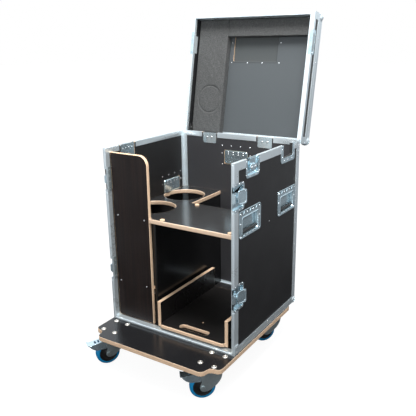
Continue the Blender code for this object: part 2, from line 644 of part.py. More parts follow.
# Recessed handles: pressed dish, and a bail of two flat arms with a round grip between their ends
HANDLES = {"right_front": ("right", HANDLE_FRONT_Y, HANDLE_Z),
           "right_rear": ("right", HANDLE_REAR_Y, HANDLE_Z),
           "left_front": ("left", HANDLE_FRONT_Y, HANDLE_Z), "left_rear": ("left", HANDLE_REAR_Y, HANDLE_Z),
           "back": ("back", HANDLE_BACK_X, HANDLE_BACK_Z)}
POCKET_FLOOR = -POCKET_DEPTH + SHEET
GRIP_R = 0.0062
ARM_T = 0.0032
BAIL_DEEP = POCKET_FLOOR + GRIP_R + 0.001
BAIL_X = POCKET_W / 2 - SHEET - ARM_T / 2 - 0.0037
BAIL_TOP = POCKET_SPOT[1][1] - 0.0075
BAIL_LOW = POCKET_SPOT[0][1] + 0.0092
for where, (side, along, up) in HANDLES.items():
    spot = wall(side, along, up)
    flange = prism("flange", rounded((-HANDLE_W / 2, -HANDLE_H / 2), (HANDLE_W / 2, HANDLE_H / 2), 0.012),
                   GAP, GAP + SHEET)
    pocket = prism("pocket", rounded(POCKET_SPOT[0], POCKET_SPOT[1], POCKET_R), -POCKET_DEPTH,
                   GAP + SHEET * 0.5)
    low, high = grown(POCKET_SPOT, -SHEET)
    hollow = prism("hollow", rounded(low, high, POCKET_R - SHEET), POCKET_FLOOR, 0.010)
    node("handle_dish_" + where, place(cut(union(flange, pocket), hollow), spot), "zinc")
    bail = prism("grip", disc((BAIL_LOW, BAIL_DEEP), GRIP_R, 12), -BAIL_X - ARM_T * 0.7,
                 BAIL_X + ARM_T * 0.7, "X")
    pieces = []
    for lean in (-1, 1):
        arm = rounded((BAIL_LOW - 0.003, BAIL_DEEP - 0.004), (BAIL_TOP + 0.0040, BAIL_DEEP + 0.004), 0.003,
                      2)
        pieces.append(prism("arm", arm, lean * BAIL_X - ARM_T / 2, lean * BAIL_X + ARM_T / 2, "X"))
        pin = disc((BAIL_TOP, BAIL_DEEP), 0.0022, 8)
        pieces.append(prism("pin", pin, lean * BAIL_X, lean * (POCKET_W / 2 - SHEET - GAP), "X"))
    bail = place(union(bail, *pieces), spot)
    node("handle_bail_" + where, bail, "rubber", spot @ Vector((0, BAIL_TOP, BAIL_DEEP)),
         "handle_dish_" + where)

# Butterfly latches: a dish open toward the edge it grips, and a wing on a round boss
LATCHES = {}
for side in ("left", "right"):
    LATCHES["lid_" + side] = (side, LID_LATCH_Y, HEIGHT - LATCH_W / 2, "up")
    LATCHES["door_" + side + "_upper"] = (side, LATCH_W / 2 + GAP, DOOR_LATCH_Z[1], "front")
    LATCHES["door_" + side + "_lower"] = (side, LATCH_W / 2 + GAP, DOOR_LATCH_Z[0], "front")
LATCH_FLOOR = -LATCH_DEPTH + SHEET
BOSS_TOP = -0.0012


def latch_place(side, along, up, opening):
    """Local x across the latch, y toward the edge it grips, z outward."""
    base = wall(side, along, up)
    if opening == "up":
        return base
    turn = 90 if side == "right" else -90
    return base @ Matrix.Rotation(math.radians(turn), 4, "Z")


for where, (side, along, up, opening) in LATCHES.items():
    half = LATCH_L / 2
    reach = LATCH_W / 2
    edge = LATCH_EDGE
    flange = prism("flange", rounded((-half, -reach), (half, reach), (0.014, 0.014, 0.002, 0.002)), GAP,
                   GAP + SHEET)
    pocket = prism("pocket", rounded((-half + edge, -reach + edge), (half - edge, reach),
                                     (0.007, 0.007, 0, 0)),
                   -LATCH_DEPTH, GAP + SHEET * 0.5)
    edge += SHEET
    hollow = prism("hollow", rounded((-half + edge, -reach + edge), (half - edge, reach + 0.01),
                                     (0.0058, 0.0058, 0, 0)),
                   LATCH_FLOOR, 0.010)
    boss = prism("boss", disc((0, 0), 0.0125, 16), LATCH_FLOOR - SHEET / 2, BOSS_TOP)
    claw = box("claw", (-0.019, 0.010, LATCH_FLOOR - SHEET / 2), (0.019, reach - 0.0005, BOSS_TOP))
    nose = box("nose", (-0.015, reach - 0.0045, BOSS_TOP - 0.0008), (0.015, reach - 0.0005, 0.0045))
    spot = latch_place(side, along, up, opening)
    dish = place(union(cut(union(flange, pocket), hollow), boss, claw, nose), spot)
    node("latch_dish_" + where, dish, "zinc")
    wing = prism("base", disc((0, 0), WING_R, 16), BOSS_TOP + GAP, 0.0030)
    if opening == "front":
        # the wing swung part open: hinged toward the front edge, its rear edge standing clear of the dish
        plate = prism("plate", rounded((-0.0270, -0.0450), (0.0270, 0.0), (0.0100, 0.0100, 0.0030, 0.0030)),
                      0.0, 0.0018)
        place(plate, Matrix.Translation((0, 0.0130, 0.0020)) @ Matrix.Rotation(math.radians(-WING_TILT), 4,
                                                                               "X"))
        rib = prism("rib", [(0.0110, 0.0022), (0.0105, 0.0030), (-0.0190, 0.0108), (-0.0120, 0.0022)],
                    -0.0040, 0.0040, "X")
    else:
        plate = prism("plate", rounded((-0.0250, -0.0145), (0.0250, 0.0105), 0.0070), 0.0020, 0.0040)
        rib = box("rib", (-0.0040, -0.0120, 0.0035), (0.0040, 0.0080, 0.0062))
    wing = place(union(wing, plate, rib), spot)
    node("latch_wing_" + where, wing, "zinc", spot @ Vector((0, 0, 0)), "latch_dish_" + where)

# Hinge dishes let into the rear wall, with the pin that the lid's leaves turn on
for side, sign in (("left", -1), ("right", 1)):
    reach = HINGE_W / 2
    centre = sign * HINGE_X
    flange = prism("flange", rounded((centre - reach, HINGE_LOW), (centre + reach, HEIGHT - 0.0135),
                                     (0.008, 0.008, 0, 0)),
                   DEPTH - SKIN + GAP, DEPTH - GAP, "Y")
    skirt = prism("skirt", rounded((centre - reach + 0.0065, HINGE_LOW + 0.0065),
                                   (centre + reach - 0.0065, HEIGHT - 0.0205), (0.007, 0.007, 0, 0)),
                  DEPTH - 0.0125, DEPTH - 0.0008, "Y")
    hollow = prism("hollow", rounded((centre - reach + 0.0077, HINGE_LOW + 0.0077),
                                     (centre + reach - 0.0077, HEIGHT + 0.010), (0.006, 0.006, 0, 0)),
                   DEPTH - 0.0113, DEPTH + 0.010, "Y")
    dish = cut(union(flange, skirt), hollow)
    pieces = [box("back", (centre - reach + 0.0070, DEPTH - 0.0125, HEIGHT - 0.030),
                  (centre + reach - 0.0070, DEPTH - 0.0113, HEIGHT - 0.0005))]
    for lean in (-1, 1):
        middle = centre + lean * (reach - 0.0150)
        pieces.append(prism("knuckle", disc((PIN_Y, PIN_Z), KNUCKLE_R, 12), middle - 0.0078,
                            middle + 0.0078, "X"))
        pieces.append(box("strap", (middle - 0.0078, DEPTH - 0.0120, PIN_Z - 0.0035),
                          (middle + 0.0078, PIN_Y, PIN_Z + 0.0010)))
    pieces.append(prism("pin", disc((PIN_Y, PIN_Z), PIN_R, 10), centre - 0.030, centre + 0.030, "X"))
    node("hinge_dish_" + side, union(dish, *pieces), "zinc", (centre, PIN_Y, PIN_Z))

# Inside: face panel, shelves, divider, liner
face = prism("face", rounded((FACE_X[0], PANEL_LOW), (FACE_X[1], FACE_TOP), (0, 0, FACE_R, 0), 8),
             FACE_Y, FACE_Y + FACE_T, "Y")
node("face_panel", face, "face")
outline = [(-SHELF_X, BEHIND), (FACE_X[1] + GAP, BEHIND), (FACE_X[1] + GAP, FACE_Y), (SHELF_X, FACE_Y),
           (SHELF_X, SHELF_DEPTH), (STRIP_X, SHELF_DEPTH), (STRIP_X, INSIDE_Y), (-SHELF_X, INSIDE_Y)]
shelf = prism("shelf", outline, SHELF_Z, SHELF_Z + SHELF_T)
shelf = cut(shelf, *[prism("hole", disc((HOLE_X, y), HOLE_R, 40), SHELF_Z - 0.01,
                           SHELF_Z + 0.03) for y in HOLE_Y])
pegs = [prism("peg", disc((x, y), PEG_R, 12), SHELF_Z + SHELF_T / 2, SHELF_Z + SHELF_T + PEG_TALL)
        for x in PEG_X for y in PEG_Y]
node("shelf", union(shelf, *pegs), "film")
lower = box("lower", (-INSIDE_X + GAP, BEHIND, LOWER_SHELF_Z),
            (DIVIDER_X[0] - GAP, INSIDE_Y - GAP, LOWER_SHELF_Z + BOARD_T))
node("lower_shelf", lower, "film")
divider = box("divider", (DIVIDER_X[0], BEHIND, PANEL_LOW), (DIVIDER_X[1], INSIDE_Y - GAP, SHELF_Z - GAP))
node("divider", divider, "film")
liner = box("liner", (LINER_X, INNER + 0.0005, PANEL_LOW), (INSIDE_X, INSIDE_Y - GAP, SHELF_Z - GAP))
node("liner", liner, "film")

# Sliding tray between two runners
base = prism("tray", rounded((TRAY_X[0] + TRAY_T - 0.001, TRAY_Y[0]),
                             (TRAY_X[1] - TRAY_T + 0.001, TRAY_Y[1]),
                             (0.018, 0.018, 0, 0), 5), TRAY_Z, TRAY_Z + TRAY_T)
slot = prism("slot", rounded((SLOT_X - SLOT_HALF, SLOT_Y - SLOT_R), (SLOT_X + SLOT_HALF, SLOT_Y + SLOT_R),
                             SLOT_R * 0.999, 6), TRAY_Z - 0.01, TRAY_Z + 0.03)
base = cut(base, slot)
sides = []
top = TRAY_Z + TRAY_TALL
for x0, x1 in ((TRAY_X[0], TRAY_X[0] + TRAY_T), (TRAY_X[1] - TRAY_T, TRAY_X[1])):
    sides.append(box("side", (x0, TRAY_Y[0] + 0.0125, TRAY_Z), (x1, TRAY_Y[1] - 0.003, top)))
node("tray", union(base, *sides), "film")
for side, x0, x1 in (("left", DIVIDER_X[1] + GAP, TRAY_X[0] - GAP),
                     ("right", TRAY_X[1] + GAP, LINER_X - GAP)):
    node("runner_" + side, box("runner", (x0, BEHIND, RUNNER_LOW),
                               (x1, TRAY_Y[1], RUNNER_LOW + RUNNER_TALL)), "rubber")

# Lid, built closed, then turned open about the hinge pin
LID_Z = HEIGHT + LID_GAP
LID_TOP = LID_Z + LID_H
LID_FRONT = LID_SHORT
SHEET_LOW = LID_TOP - SKIN - PLY
SHEET_TOP = LID_TOP - SKIN
PIN = Vector((0, PIN_Y, PIN_Z))
opened = (Matrix.Translation(PIN) @ Matrix.Rotation(math.radians(-LID_OPEN), 4,
                                                    "X") @ Matrix.Translation(-PIN))
LABEL = ((-LABEL_W / 2, LABEL_FROM_FRONT), (LABEL_W / 2, LABEL_FROM_FRONT + LABEL_L))
pieces = {}
panel = box("panel", (-INSIDE_X, LID_FRONT + PROFILE + GAP, SHEET_LOW), (INSIDE_X, INSIDE_Y, SHEET_TOP))
panel = cut(panel, prism("hole", rounded(LABEL[0], LABEL[1], 0.005, 2), LID_TOP - 0.04, LID_TOP + 0.01))
pieces["lid_panel"] = (panel, "film")

low, high = grown(LABEL, 0.0105)
flange = prism("flange", rounded(low, high, 0.008, 2), SHEET_TOP + GAP, SHEET_TOP + GAP + SHEET)
low, high = grown(LABEL, -0.0006)
pocket = prism("pocket", rounded(low, high, 0.0045, 2), SHEET_TOP - LABEL_DEEP,
               SHEET_TOP + GAP + SHEET * 0.5)
low, high = grown(LABEL, -0.0018)
hollow = prism("hollow", rounded(low, high, 0.0033, 2), SHEET_TOP - LABEL_DEEP + SHEET, SHEET_TOP + 0.02)
pieces["label_dish"] = (cut(union(flange, pocket), hollow), "zinc")

BAND_TOP = LID_TOP - PROFILE - GAP


def band_ring(extra):
    """The lid's four side boards as one ring, grown on every side by a clearance."""
    out = SKIN - extra
    ring = box("ring", (-HALF + out, LID_FRONT + out, LID_Z + out),
               (HALF - out, DEPTH - out, BAND_TOP + extra))
    deep = SKIN + PLY + extra
    return cut(ring, box("hollow", (-HALF + deep, LID_FRONT + deep, LID_Z - 0.01),
                         (HALF - deep, DEPTH - deep, LID_TOP)))


def lid_notches(hinge_from):
    """Room for the catches at the sides and for the hinge leaves at the rear."""
    tools = []
    for sign in (-1, 1):
        tools.append(box("notch", (sign * (HALF + 0.01), LID_LATCH_Y - CATCH_HALF, LID_Z - 0.01),
                         (sign * (HALF - 0.03), LID_LATCH_Y + CATCH_HALF, LID_Z + CATCH_TALL)))
        tools.append(box("notch", (sign * HINGE_X - HINGE_CUT, hinge_from, LID_Z - 0.01),
                         (sign * HINGE_X + HINGE_CUT, DEPTH + 0.01, LID_Z + 0.030)))
    return tools


pieces["lid_band"] = (cut(band_ring(0.0), *lid_notches(DEPTH - 0.03)), "film")

FOAM_TOP = LID_TOP - PROFILE - GAP
FOAM_IN = HALF - PROFILE - 0.0026
FOAM_FRONT = LID_FRONT + PROFILE + 0.0025
foam = box("foam", (-FOAM_IN, FOAM_FRONT, FOAM_TOP - FOAM_T),
           (-FOAM_IN + FOAM_SIDE_W, INSIDE_Y - 0.0028, FOAM_TOP))
short = box("short", (-FOAM_IN + FOAM_SIDE_W - 0.002, FOAM_FRONT, FOAM_TOP - FOAM_T),
            (FOAM_IN, FOAM_FRONT + FOAM_FRONT_W, FOAM_TOP))
pieces["lid_foam"] = (union(foam, short), "foam")

# Lid frame: angles along the top edges and up the corners, rim below, catches, hinge leaves, corner caps
joined = []
for sign in (-1, 1):
    joined.append(prism("edge", section(angle_points(), sign * HALF, LID_TOP, sign > 0, True), LID_FRONT,
                        DEPTH, "Y"))
    joined.append(prism("rim", section(u_points(LID_RIM_OUT, LID_RIM_IN), sign * HALF, LID_Z, sign > 0),
                        LID_FRONT, DEPTH, "Y"))
for y, flip in ((LID_FRONT, False), (DEPTH, True)):
    joined.append(prism("edge", section(angle_points(), y, LID_TOP, flip, True), -HALF, HALF, "X"))
    joined.append(prism("rim", section(u_points(LID_RIM_OUT, LID_RIM_IN), y, LID_Z, flip), -HALF, HALF,
                        "X"))
    for sign in (-1, 1):
        sink = ALU * 0.13
        thin = ALU * 0.73
        post = [(sink, sink), (LEG, sink), (LEG, thin), (thin, thin), (thin, LEG), (sink, LEG)]
        joined.append(prism("post", section(post, sign * HALF, y, sign > 0, flip), LID_Z + ALU * 0.4,
                            LID_TOP - ALU * 0.4))
frame = union(joined[0], *joined[1:])
frame = cut(frame, band_ring(GAP * 0.8), *lid_notches(DEPTH - 0.011))
joined = []
for sign in (-1, 1):
    # catch: a plate behind the band's notch with a lip that the latch grips
    wide = CATCH_HALF + 0.006
    joined.append(box("catch", (sign * (HALF - PROFILE + 0.0002), LID_LATCH_Y - wide, LID_Z + 0.0004),
                      (sign * (HALF - PROFILE + 0.0013), LID_LATCH_Y + wide, LID_Z + CATCH_TALL + 0.005)))
    joined.append(box("lip", (sign * (HALF - PROFILE + 0.0006), LID_LATCH_Y - 0.020, LID_Z + 0.0135),
                      (sign * (HALF - 0.0035), LID_LATCH_Y + 0.020, LID_Z + 0.0175)))
    # hinge leaf: a plate let into the rear band, with one knuckle between the dish's two
    middle = sign * HINGE_X
    back = DEPTH - PROFILE
    joined.append(box("leaf", (middle - 0.0345, back + 0.0005, LID_Z + 0.0004),
                      (middle + 0.0345, back + 0.0048, LID_Z + 0.0295)))
    strap = [(back + 0.0024, PIN_Z - 0.0010), (PIN_Y, PIN_Z - 0.0010), (PIN_Y, PIN_Z + 0.0036),
             (back + 0.0044, PIN_Z + 0.0036), (back + 0.0044, LID_Z + 0.0100),
             (back + 0.0024, LID_Z + 0.0100)]
    joined.append(prism("strap", strap, middle - 0.0164, middle + 0.0164, "X"))
    joined.append(prism("knuckle", disc((PIN_Y, PIN_Z), KNUCKLE_R, 12), middle - 0.0170, middle + 0.0170,
                        "X"))
    for y, flip in ((LID_FRONT, 1), (DEPTH, -1)):
        joined.append(corner_ball(sign * HALF, y, LID_TOP, -sign, flip, -1))
frame = union(frame, *joined)
bores = [prism("bore", disc((PIN_Y, PIN_Z), PIN_R + GAP, 10), sign * HINGE_X - 0.02, sign * HINGE_X + 0.02,
               "X")
         for sign in (-1, 1)]
node("lid_frame", place(cut(frame, *bores), opened), "aluminium", PIN)
for name, (thing, look) in pieces.items():
    node(name, place(thing, opened), look, PIN, "lid_frame")

# The empty moves everything so the bounding box stands on z = 0 with its middle on the origin
points = [origins[name] + vert.co for name, thing in parts.items() for vert in thing.data.vertices]
low = [min(p[i] for p in points) for i in range(3)]
high = [max(p[i] for p in points) for i in range(3)]
root.location = (-(low[0] + high[0]) / 2, -(low[1] + high[1]) / 2, -low[2])
print("root at", [round(v, 6) for v in root.location], "pieces", len(parts))
print("size", [round(high[i] - low[i], 6) for i in range(3)])
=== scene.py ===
"""Looks of a lighting flight case: film-faced plywood in aluminium, on a castor board, with its lid open."""
import json
import math

import bmesh
import bpy
import numpy as np
from mathutils import Matrix, Vector
from mathutils.geometry import tessellate_polygon

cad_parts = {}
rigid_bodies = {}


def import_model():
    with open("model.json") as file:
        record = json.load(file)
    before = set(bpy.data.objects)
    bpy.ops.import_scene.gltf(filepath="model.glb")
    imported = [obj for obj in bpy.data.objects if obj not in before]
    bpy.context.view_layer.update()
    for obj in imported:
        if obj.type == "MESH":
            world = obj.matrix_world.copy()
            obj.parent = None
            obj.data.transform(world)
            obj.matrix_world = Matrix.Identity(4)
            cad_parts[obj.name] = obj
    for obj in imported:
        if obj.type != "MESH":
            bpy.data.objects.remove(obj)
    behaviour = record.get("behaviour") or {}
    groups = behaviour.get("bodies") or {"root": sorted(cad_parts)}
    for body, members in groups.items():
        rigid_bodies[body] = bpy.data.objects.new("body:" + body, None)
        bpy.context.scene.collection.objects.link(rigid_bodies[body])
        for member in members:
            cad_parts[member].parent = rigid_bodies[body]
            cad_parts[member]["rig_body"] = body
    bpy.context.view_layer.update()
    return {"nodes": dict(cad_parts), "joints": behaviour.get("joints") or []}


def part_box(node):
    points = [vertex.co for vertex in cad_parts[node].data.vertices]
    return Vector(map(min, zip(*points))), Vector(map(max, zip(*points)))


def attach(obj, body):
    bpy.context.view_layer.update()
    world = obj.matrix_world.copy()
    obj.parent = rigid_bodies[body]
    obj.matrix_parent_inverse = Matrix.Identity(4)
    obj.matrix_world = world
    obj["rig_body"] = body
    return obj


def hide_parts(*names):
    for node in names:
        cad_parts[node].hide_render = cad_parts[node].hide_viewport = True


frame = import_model()

# Castor board: film-faced birch plywood, 18 mm thick, routed to a stepped outline with its edges left bare.
# It reaches ahead of the case, so the front cover can stand on it, and everything else is measured from HOME,
# the point on its top at the middle of the case's front.
BOARD_AHEAD = 0.155
board_low, board_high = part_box("castor_board")
HOME = np.array(((board_low.x + board_high.x) / 2, board_low.y + BOARD_AHEAD, board_high.z))


def new_group(name, inputs, outputs):
    """A shader node group with its sockets made; returns the tree and its two end nodes."""
    tree = bpy.data.node_groups.new(name, "ShaderNodeTree")
    for label, kind, value in inputs:
        socket = tree.interface.new_socket(name=label, in_out="INPUT", socket_type="NodeSocket" + kind)
        if value is not None:
            socket.default_value = value
    for label, kind in outputs:
        tree.interface.new_socket(name=label, in_out="OUTPUT", socket_type="NodeSocket" + kind)
    return tree, tree.nodes.new("NodeGroupInput"), tree.nodes.new("NodeGroupOutput")


def add(tree, kind, **settings):
    """One node with plain settings; names that match a socket set its value."""
    item = tree.nodes.new("ShaderNode" + kind)
    for key, value in settings.items():
        if hasattr(item, key):
            setattr(item, key, value)
        else:
            item.inputs[key.replace("_", " ")].default_value = value
    return item


def maths(tree, operation, first, second=None, clamp=False):
    """A Math node fed by sockets or numbers."""
    item = tree.nodes.new("ShaderNodeMath")
    item.operation = operation
    item.use_clamp = clamp
    for place, value in enumerate((first, second)):
        if value is None:
            continue
        if isinstance(value, (int, float)):
            item.inputs[place].default_value = value
        else:
            tree.links.new(value, item.inputs[place])
    return item.outputs[0]


def ramp(tree, value, low, high, to_low=0.0, to_high=1.0):
    """A straight line from one range to the other, held at its ends."""
    item = tree.nodes.new("ShaderNodeMapRange")
    item.inputs["From Min"].default_value = low
    item.inputs["From Max"].default_value = high
    item.inputs["To Min"].default_value = to_low
    item.inputs["To Max"].default_value = to_high
    tree.links.new(value, item.inputs["Value"])
    return item.outputs["Result"]


def mixed(tree, mask, first, second):
    """First x (1 - mask) + second x mask, each end a colour or a socket."""
    item = tree.nodes.new("ShaderNodeMix")
    item.data_type = "RGBA"
    item.blend_type = "MIX"
    colours = [socket for socket in item.inputs if socket.type == "RGBA"]
    ends = ((item.inputs[0], mask), (colours[0], first), (colours[1], second))
    for socket, value in ends:
        if isinstance(value, (int, float)):
            socket.default_value = value
        elif isinstance(value, tuple):
            socket.default_value = value + (1.0,)
        else:
            tree.links.new(value, socket)
    return [socket for socket in item.outputs if socket.type == "RGBA"][0]


def noise(tree, vector, scale, detail=3.0, rough=0.5):
    """Fractal noise of a position, the scale in cells per metre."""
    item = tree.nodes.new("ShaderNodeTexNoise")
    item.inputs["Scale"].default_value = scale
    item.inputs["Detail"].default_value = detail
    item.inputs["Roughness"].default_value = rough
    tree.links.new(vector, item.inputs["Vector"])
    return item.outputs["Fac"]


def plywood_group():
    """Film on a board's two faces, and bare veneer wherever the surface turns away from the board's axis.

    A ply is pale where the sine of pi x (depth from the face) / (thickness of a layer) is high, and dark
    where it is low; the depth wanders by a fraction of a millimetre along the board.
    """
    tree, start, end = new_group(
        "film and plywood edge",
        [("Axis", "Vector", (0.0, 0.0, 1.0)), ("Face", "Float", 0.0), ("Layer", "Float", 0.0014),
         ("Film", "Color", (0.03, 0.03, 0.03, 1.0)), ("Bare", "Float", 1.0),
         ("Pale", "Color", (0.84, 0.63, 0.45, 1.0)), ("Dark", "Color", (0.64, 0.42, 0.27, 1.0))],
        [("Color", "Color"), ("Edge", "Float"), ("Height", "Float")])
    spot = tree.nodes.new("ShaderNodeTexCoord")
    facing = add(tree, "VectorMath", operation="DOT_PRODUCT")
    tree.links.new(spot.outputs["Normal"], facing.inputs[0])
    tree.links.new(start.outputs["Axis"], facing.inputs[1])
    edge = ramp(tree, maths(tree, "ABSOLUTE", facing.outputs["Value"]), 0.985, 0.955)
    edge = maths(tree, "MULTIPLY", edge, start.outputs["Bare"])
    across = add(tree, "VectorMath", operation="DOT_PRODUCT")
    tree.links.new(spot.outputs["Object"], across.inputs[0])
    tree.links.new(start.outputs["Axis"], across.inputs[1])
    depth = maths(tree, "SUBTRACT", across.outputs["Value"], start.outputs["Face"])
    wander = noise(tree, spot.outputs["Object"], 26.0, 2.0)
    depth = maths(tree, "ADD", depth, maths(tree, "MULTIPLY", maths(tree, "SUBTRACT", wander, 0.5), 0.0007))
    turn = maths(tree, "MULTIPLY", maths(tree, "DIVIDE", depth, start.outputs["Layer"]), math.pi)
    layer = ramp(tree, maths(tree, "SINE", turn), -0.25, 0.45)
    fibre = noise(tree, spot.outputs["Object"], 900.0, 2.0, 0.6)
    blotch = noise(tree, spot.outputs["Object"], 60.0, 3.0)
    veneer = mixed(tree, layer, start.outputs["Dark"], start.outputs["Pale"])
    veneer = mixed(tree, maths(tree, "MULTIPLY", fibre, 0.22), veneer, (0.42, 0.24, 0.12))
    veneer = mixed(tree, ramp(tree, blotch, 0.35, 0.75, 0.0, 0.30), veneer, (0.96, 0.74, 0.50))
    grain = noise(tree, spot.outputs["Object"], 420.0, 3.0, 0.65)
    cloud = noise(tree, spot.outputs["Object"], 7.0, 2.0)
    film = mixed(tree, ramp(tree, grain, 0.45, 0.75, 0.0, 0.05), start.outputs["Film"], (0.16, 0.16, 0.16))
    film = mixed(tree, ramp(tree, cloud, 0.35, 0.70, 0.0, 0.03), film, (0.11, 0.11, 0.115))
    tree.links.new(mixed(tree, edge, film, veneer), end.inputs["Color"])
    tree.links.new(edge, end.inputs["Edge"])
    height = maths(tree, "ADD", maths(tree, "MULTIPLY", grain, 0.25),
                   maths(tree, "MULTIPLY", maths(tree, "MULTIPLY", layer, edge), 0.8))
    tree.links.new(height, end.inputs["Height"])
    return tree


FILM_AND_PLY = plywood_group()


def material(name):
    """A material with its shader and texture coordinates; the slot it stands for is noted by its name."""
    made = bpy.data.materials.new(name)
    made.use_nodes = True
    tree = made.node_tree
    return made, tree, tree.nodes["Principled BSDF"], tree.nodes.new("ShaderNodeTexCoord")


def bumped(tree, shader, height, distance, strength=1.0):
    """Turns the normal by the slope of a height."""
    item = add(tree, "Bump", Strength=strength, Distance=distance)
    tree.links.new(height, item.inputs["Height"])
    tree.links.new(item.outputs["Normal"], shader.inputs["Normal"])


def film_faced(name, axis, face, film, gloss=0.30, bare=1.0, specular=0.5):
    """Resin film on both faces of a board whose thickness runs along the axis, bare plywood at its edges.

    Roughness = gloss, a little more or less with the smears, + 0.35 where the edge is bare.
    """
    made, tree, shader, spot = material(name)
    group = tree.nodes.new("ShaderNodeGroup")
    group.node_tree = FILM_AND_PLY
    group.inputs["Axis"].default_value = axis
    group.inputs["Face"].default_value = face
    group.inputs["Bare"].default_value = bare
    group.inputs["Film"].default_value = film + (1.0,)
    tree.links.new(group.outputs["Color"], shader.inputs["Base Color"])
    smear = noise(tree, spot.outputs["Object"], 9.0, 4.0, 0.6)
    rough = maths(tree, "ADD", ramp(tree, smear, 0.3, 0.7, gloss - 0.03, gloss + 0.05),
                  maths(tree, "MULTIPLY", group.outputs["Edge"], 0.35), True)
    tree.links.new(rough, shader.inputs["Roughness"])
    shader.inputs["Specular IOR Level"].default_value = specular
    bumped(tree, shader, group.outputs["Height"], 0.00012)
    return made


def placed(name, mesh, finish, body, angle):
    """A mesh put in the scene, smooth except past the angle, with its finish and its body."""
    mesh.shade_smooth()
    mesh.set_sharp_from_angle(angle=math.radians(angle))
    mesh.materials.append(finish)
    thing = bpy.data.objects.new(name, mesh)
    bpy.context.scene.collection.objects.link(thing)
    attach(thing, body)
    return thing


def piece(name, points, faces, finish, body, angle=35.0, poles=False):
    """A mesh at its real place, its doubled points made one and its faces turned outwards.

    With poles, the faces that a pole folds to nothing are dropped too.
    """
    mesh = bpy.data.meshes.new(name)
    mesh.from_pydata(np.asarray(points, dtype=float).tolist(), [], [list(map(int, face)) for face in faces])
    data = bmesh.new()
    data.from_mesh(mesh)
    bmesh.ops.remove_doubles(data, verts=data.verts, dist=2e-6 if poles else 1e-6)
    if poles:
        bmesh.ops.dissolve_degenerate(data, dist=1e-7, edges=data.edges)
    bmesh.ops.recalc_face_normals(data, faces=data.faces)
    data.to_mesh(mesh)
    data.free()
    return placed(name, mesh, finish, body, angle)


def offset_loop(loop, inset):
    """Every point moved to the left of its travel by the inset, along the mitre of its two edges."""
    ahead = np.roll(loop, -1, axis=0) - loop
    behind = loop - np.roll(loop, 1, axis=0)
    ahead /= np.linalg.norm(ahead, axis=1)[:, None]
    behind /= np.linalg.norm(behind, axis=1)[:, None]
    left = np.stack([-(ahead + behind)[:, 1], (ahead + behind)[:, 0]], axis=1)
    left /= np.linalg.norm(left, axis=1)[:, None]
    cosine = np.clip((left * np.stack([-ahead[:, 1], ahead[:, 0]], axis=1)).sum(axis=1), 0.4, 1.0)
    return loop + left * (inset / cosine)[:, None]


def signed_area(loop):
    """Half the sum of x y' - x' y over neighbours: above 0 where the loop runs anticlockwise."""
    return 0.5 * np.sum(loop[:, 0] * np.roll(loop[:, 1], -1) - np.roll(loop[:, 0], -1) * loop[:, 1])


def board(name, loops, low, high, radius, axis, finish, body):
    """A routed board: the edge profile, two quarter rounds and a flat, carried along each outline and hole.

    Ring k of a loop is its outline inset by r (1 - sin a) at a height of r (1 - cos a) above the face.
    """
    steps = np.linspace(0.0, math.pi / 2, 4)
    inwards = radius * (1 - np.sin(steps))
    upwards = radius * (1 - np.cos(steps))
    insets = np.concatenate([inwards, inwards[::-1]])
    heights = np.concatenate([low + upwards, (high - upwards)[::-1]])
    points = []
    faces = []
    caps = ([], [])
    count = 0
    for number, loop in enumerate(loops):
        loop = np.asarray(loop, dtype=float)
        if (signed_area(loop) > 0) != (number == 0):
            loop = loop[::-1]
        size = len(loop)
        for inset, height in zip(insets, heights):
            ring = offset_loop(loop, inset)
            points.append(np.column_stack([ring, np.full(size, height)]))
        here = np.arange(size)
        for k in range(len(insets) - 1):
            a = count + k * size + here
            b = count + k * size + (here + 1) % size
            faces.extend(np.stack([a, b, b + size, a + size], axis=1).tolist())
        caps[0].append((count, size))
        caps[1].append((count + (len(insets) - 1) * size, size))
        count += size * len(insets)
    points = np.concatenate(points)
    for cap in caps:
        order = np.concatenate([np.arange(first, first + size) for first, size in cap])
        outlines = [[Vector(points[i]) for i in range(first, first + size)] for first, size in cap]
        faces.extend([[int(order[i]) for i in triangle] for triangle in tessellate_polygon(outlines)])
    turn = {"X": (2, 0, 1), "Y": (0, 2, 1), "Z": (0, 1, 2)}[axis]
    made = piece(name, points[:, turn] + HOME, faces, finish, body)
    flat = made.modifiers.new("flat faces", "WEIGHTED_NORMAL")
    flat.keep_sharp = True
    flat.weight = 100
    return made


def arc(centre, radius, start, stop, steps):
    """x = cx + r cos t, y = cy + r sin t, the angles in degrees."""
    turn = np.radians(np.linspace(start, stop, steps + 1))
    return np.column_stack([centre[0] + radius * np.cos(turn), centre[1] + radius * np.sin(turn)])


def round_rect(low, high, radii, steps=5):
    """A rectangle with its own radius at each corner, from the low corner anticlockwise."""
    corners = ((low[0], low[1], 180, 1, 1), (high[0], low[1], 270, -1, 1),
               (high[0], high[1], 0, -1, -1), (low[0], high[1], 90, 1, -1))
    runs = []
    for (x, y, start, sx, sy), radius in zip(corners, radii):
        if radius > 0:
            runs.append(arc((x + sx * radius, y + sy * radius), radius, start, start + 90, steps))
        else:
            runs.append(np.array([(x, y)]))
    return np.concatenate(runs)


def smooth_through(points, steps=5):
    """A curve of cubics through points: the slope at each is half the chord between its neighbours."""
    points = np.asarray(points, dtype=float)
    padded = np.concatenate([points[:1], points, points[-1:]])
    t = np.linspace(0, 1, steps, endpoint=False)[:, None]
    runs = []
    for p0, p1, p2, p3 in zip(padded[:-3], padded[1:-2], padded[2:-1], padded[3:]):
        runs.append(0.5 * (2 * p1 + (p2 - p0) * t + (2 * p0 - 5 * p1 + 4 * p2 - p3) * t ** 2
                           + (3 * p1 - p0 - 3 * p2 + p3) * t ** 3))
    return np.concatenate(runs + [points[-1:]])


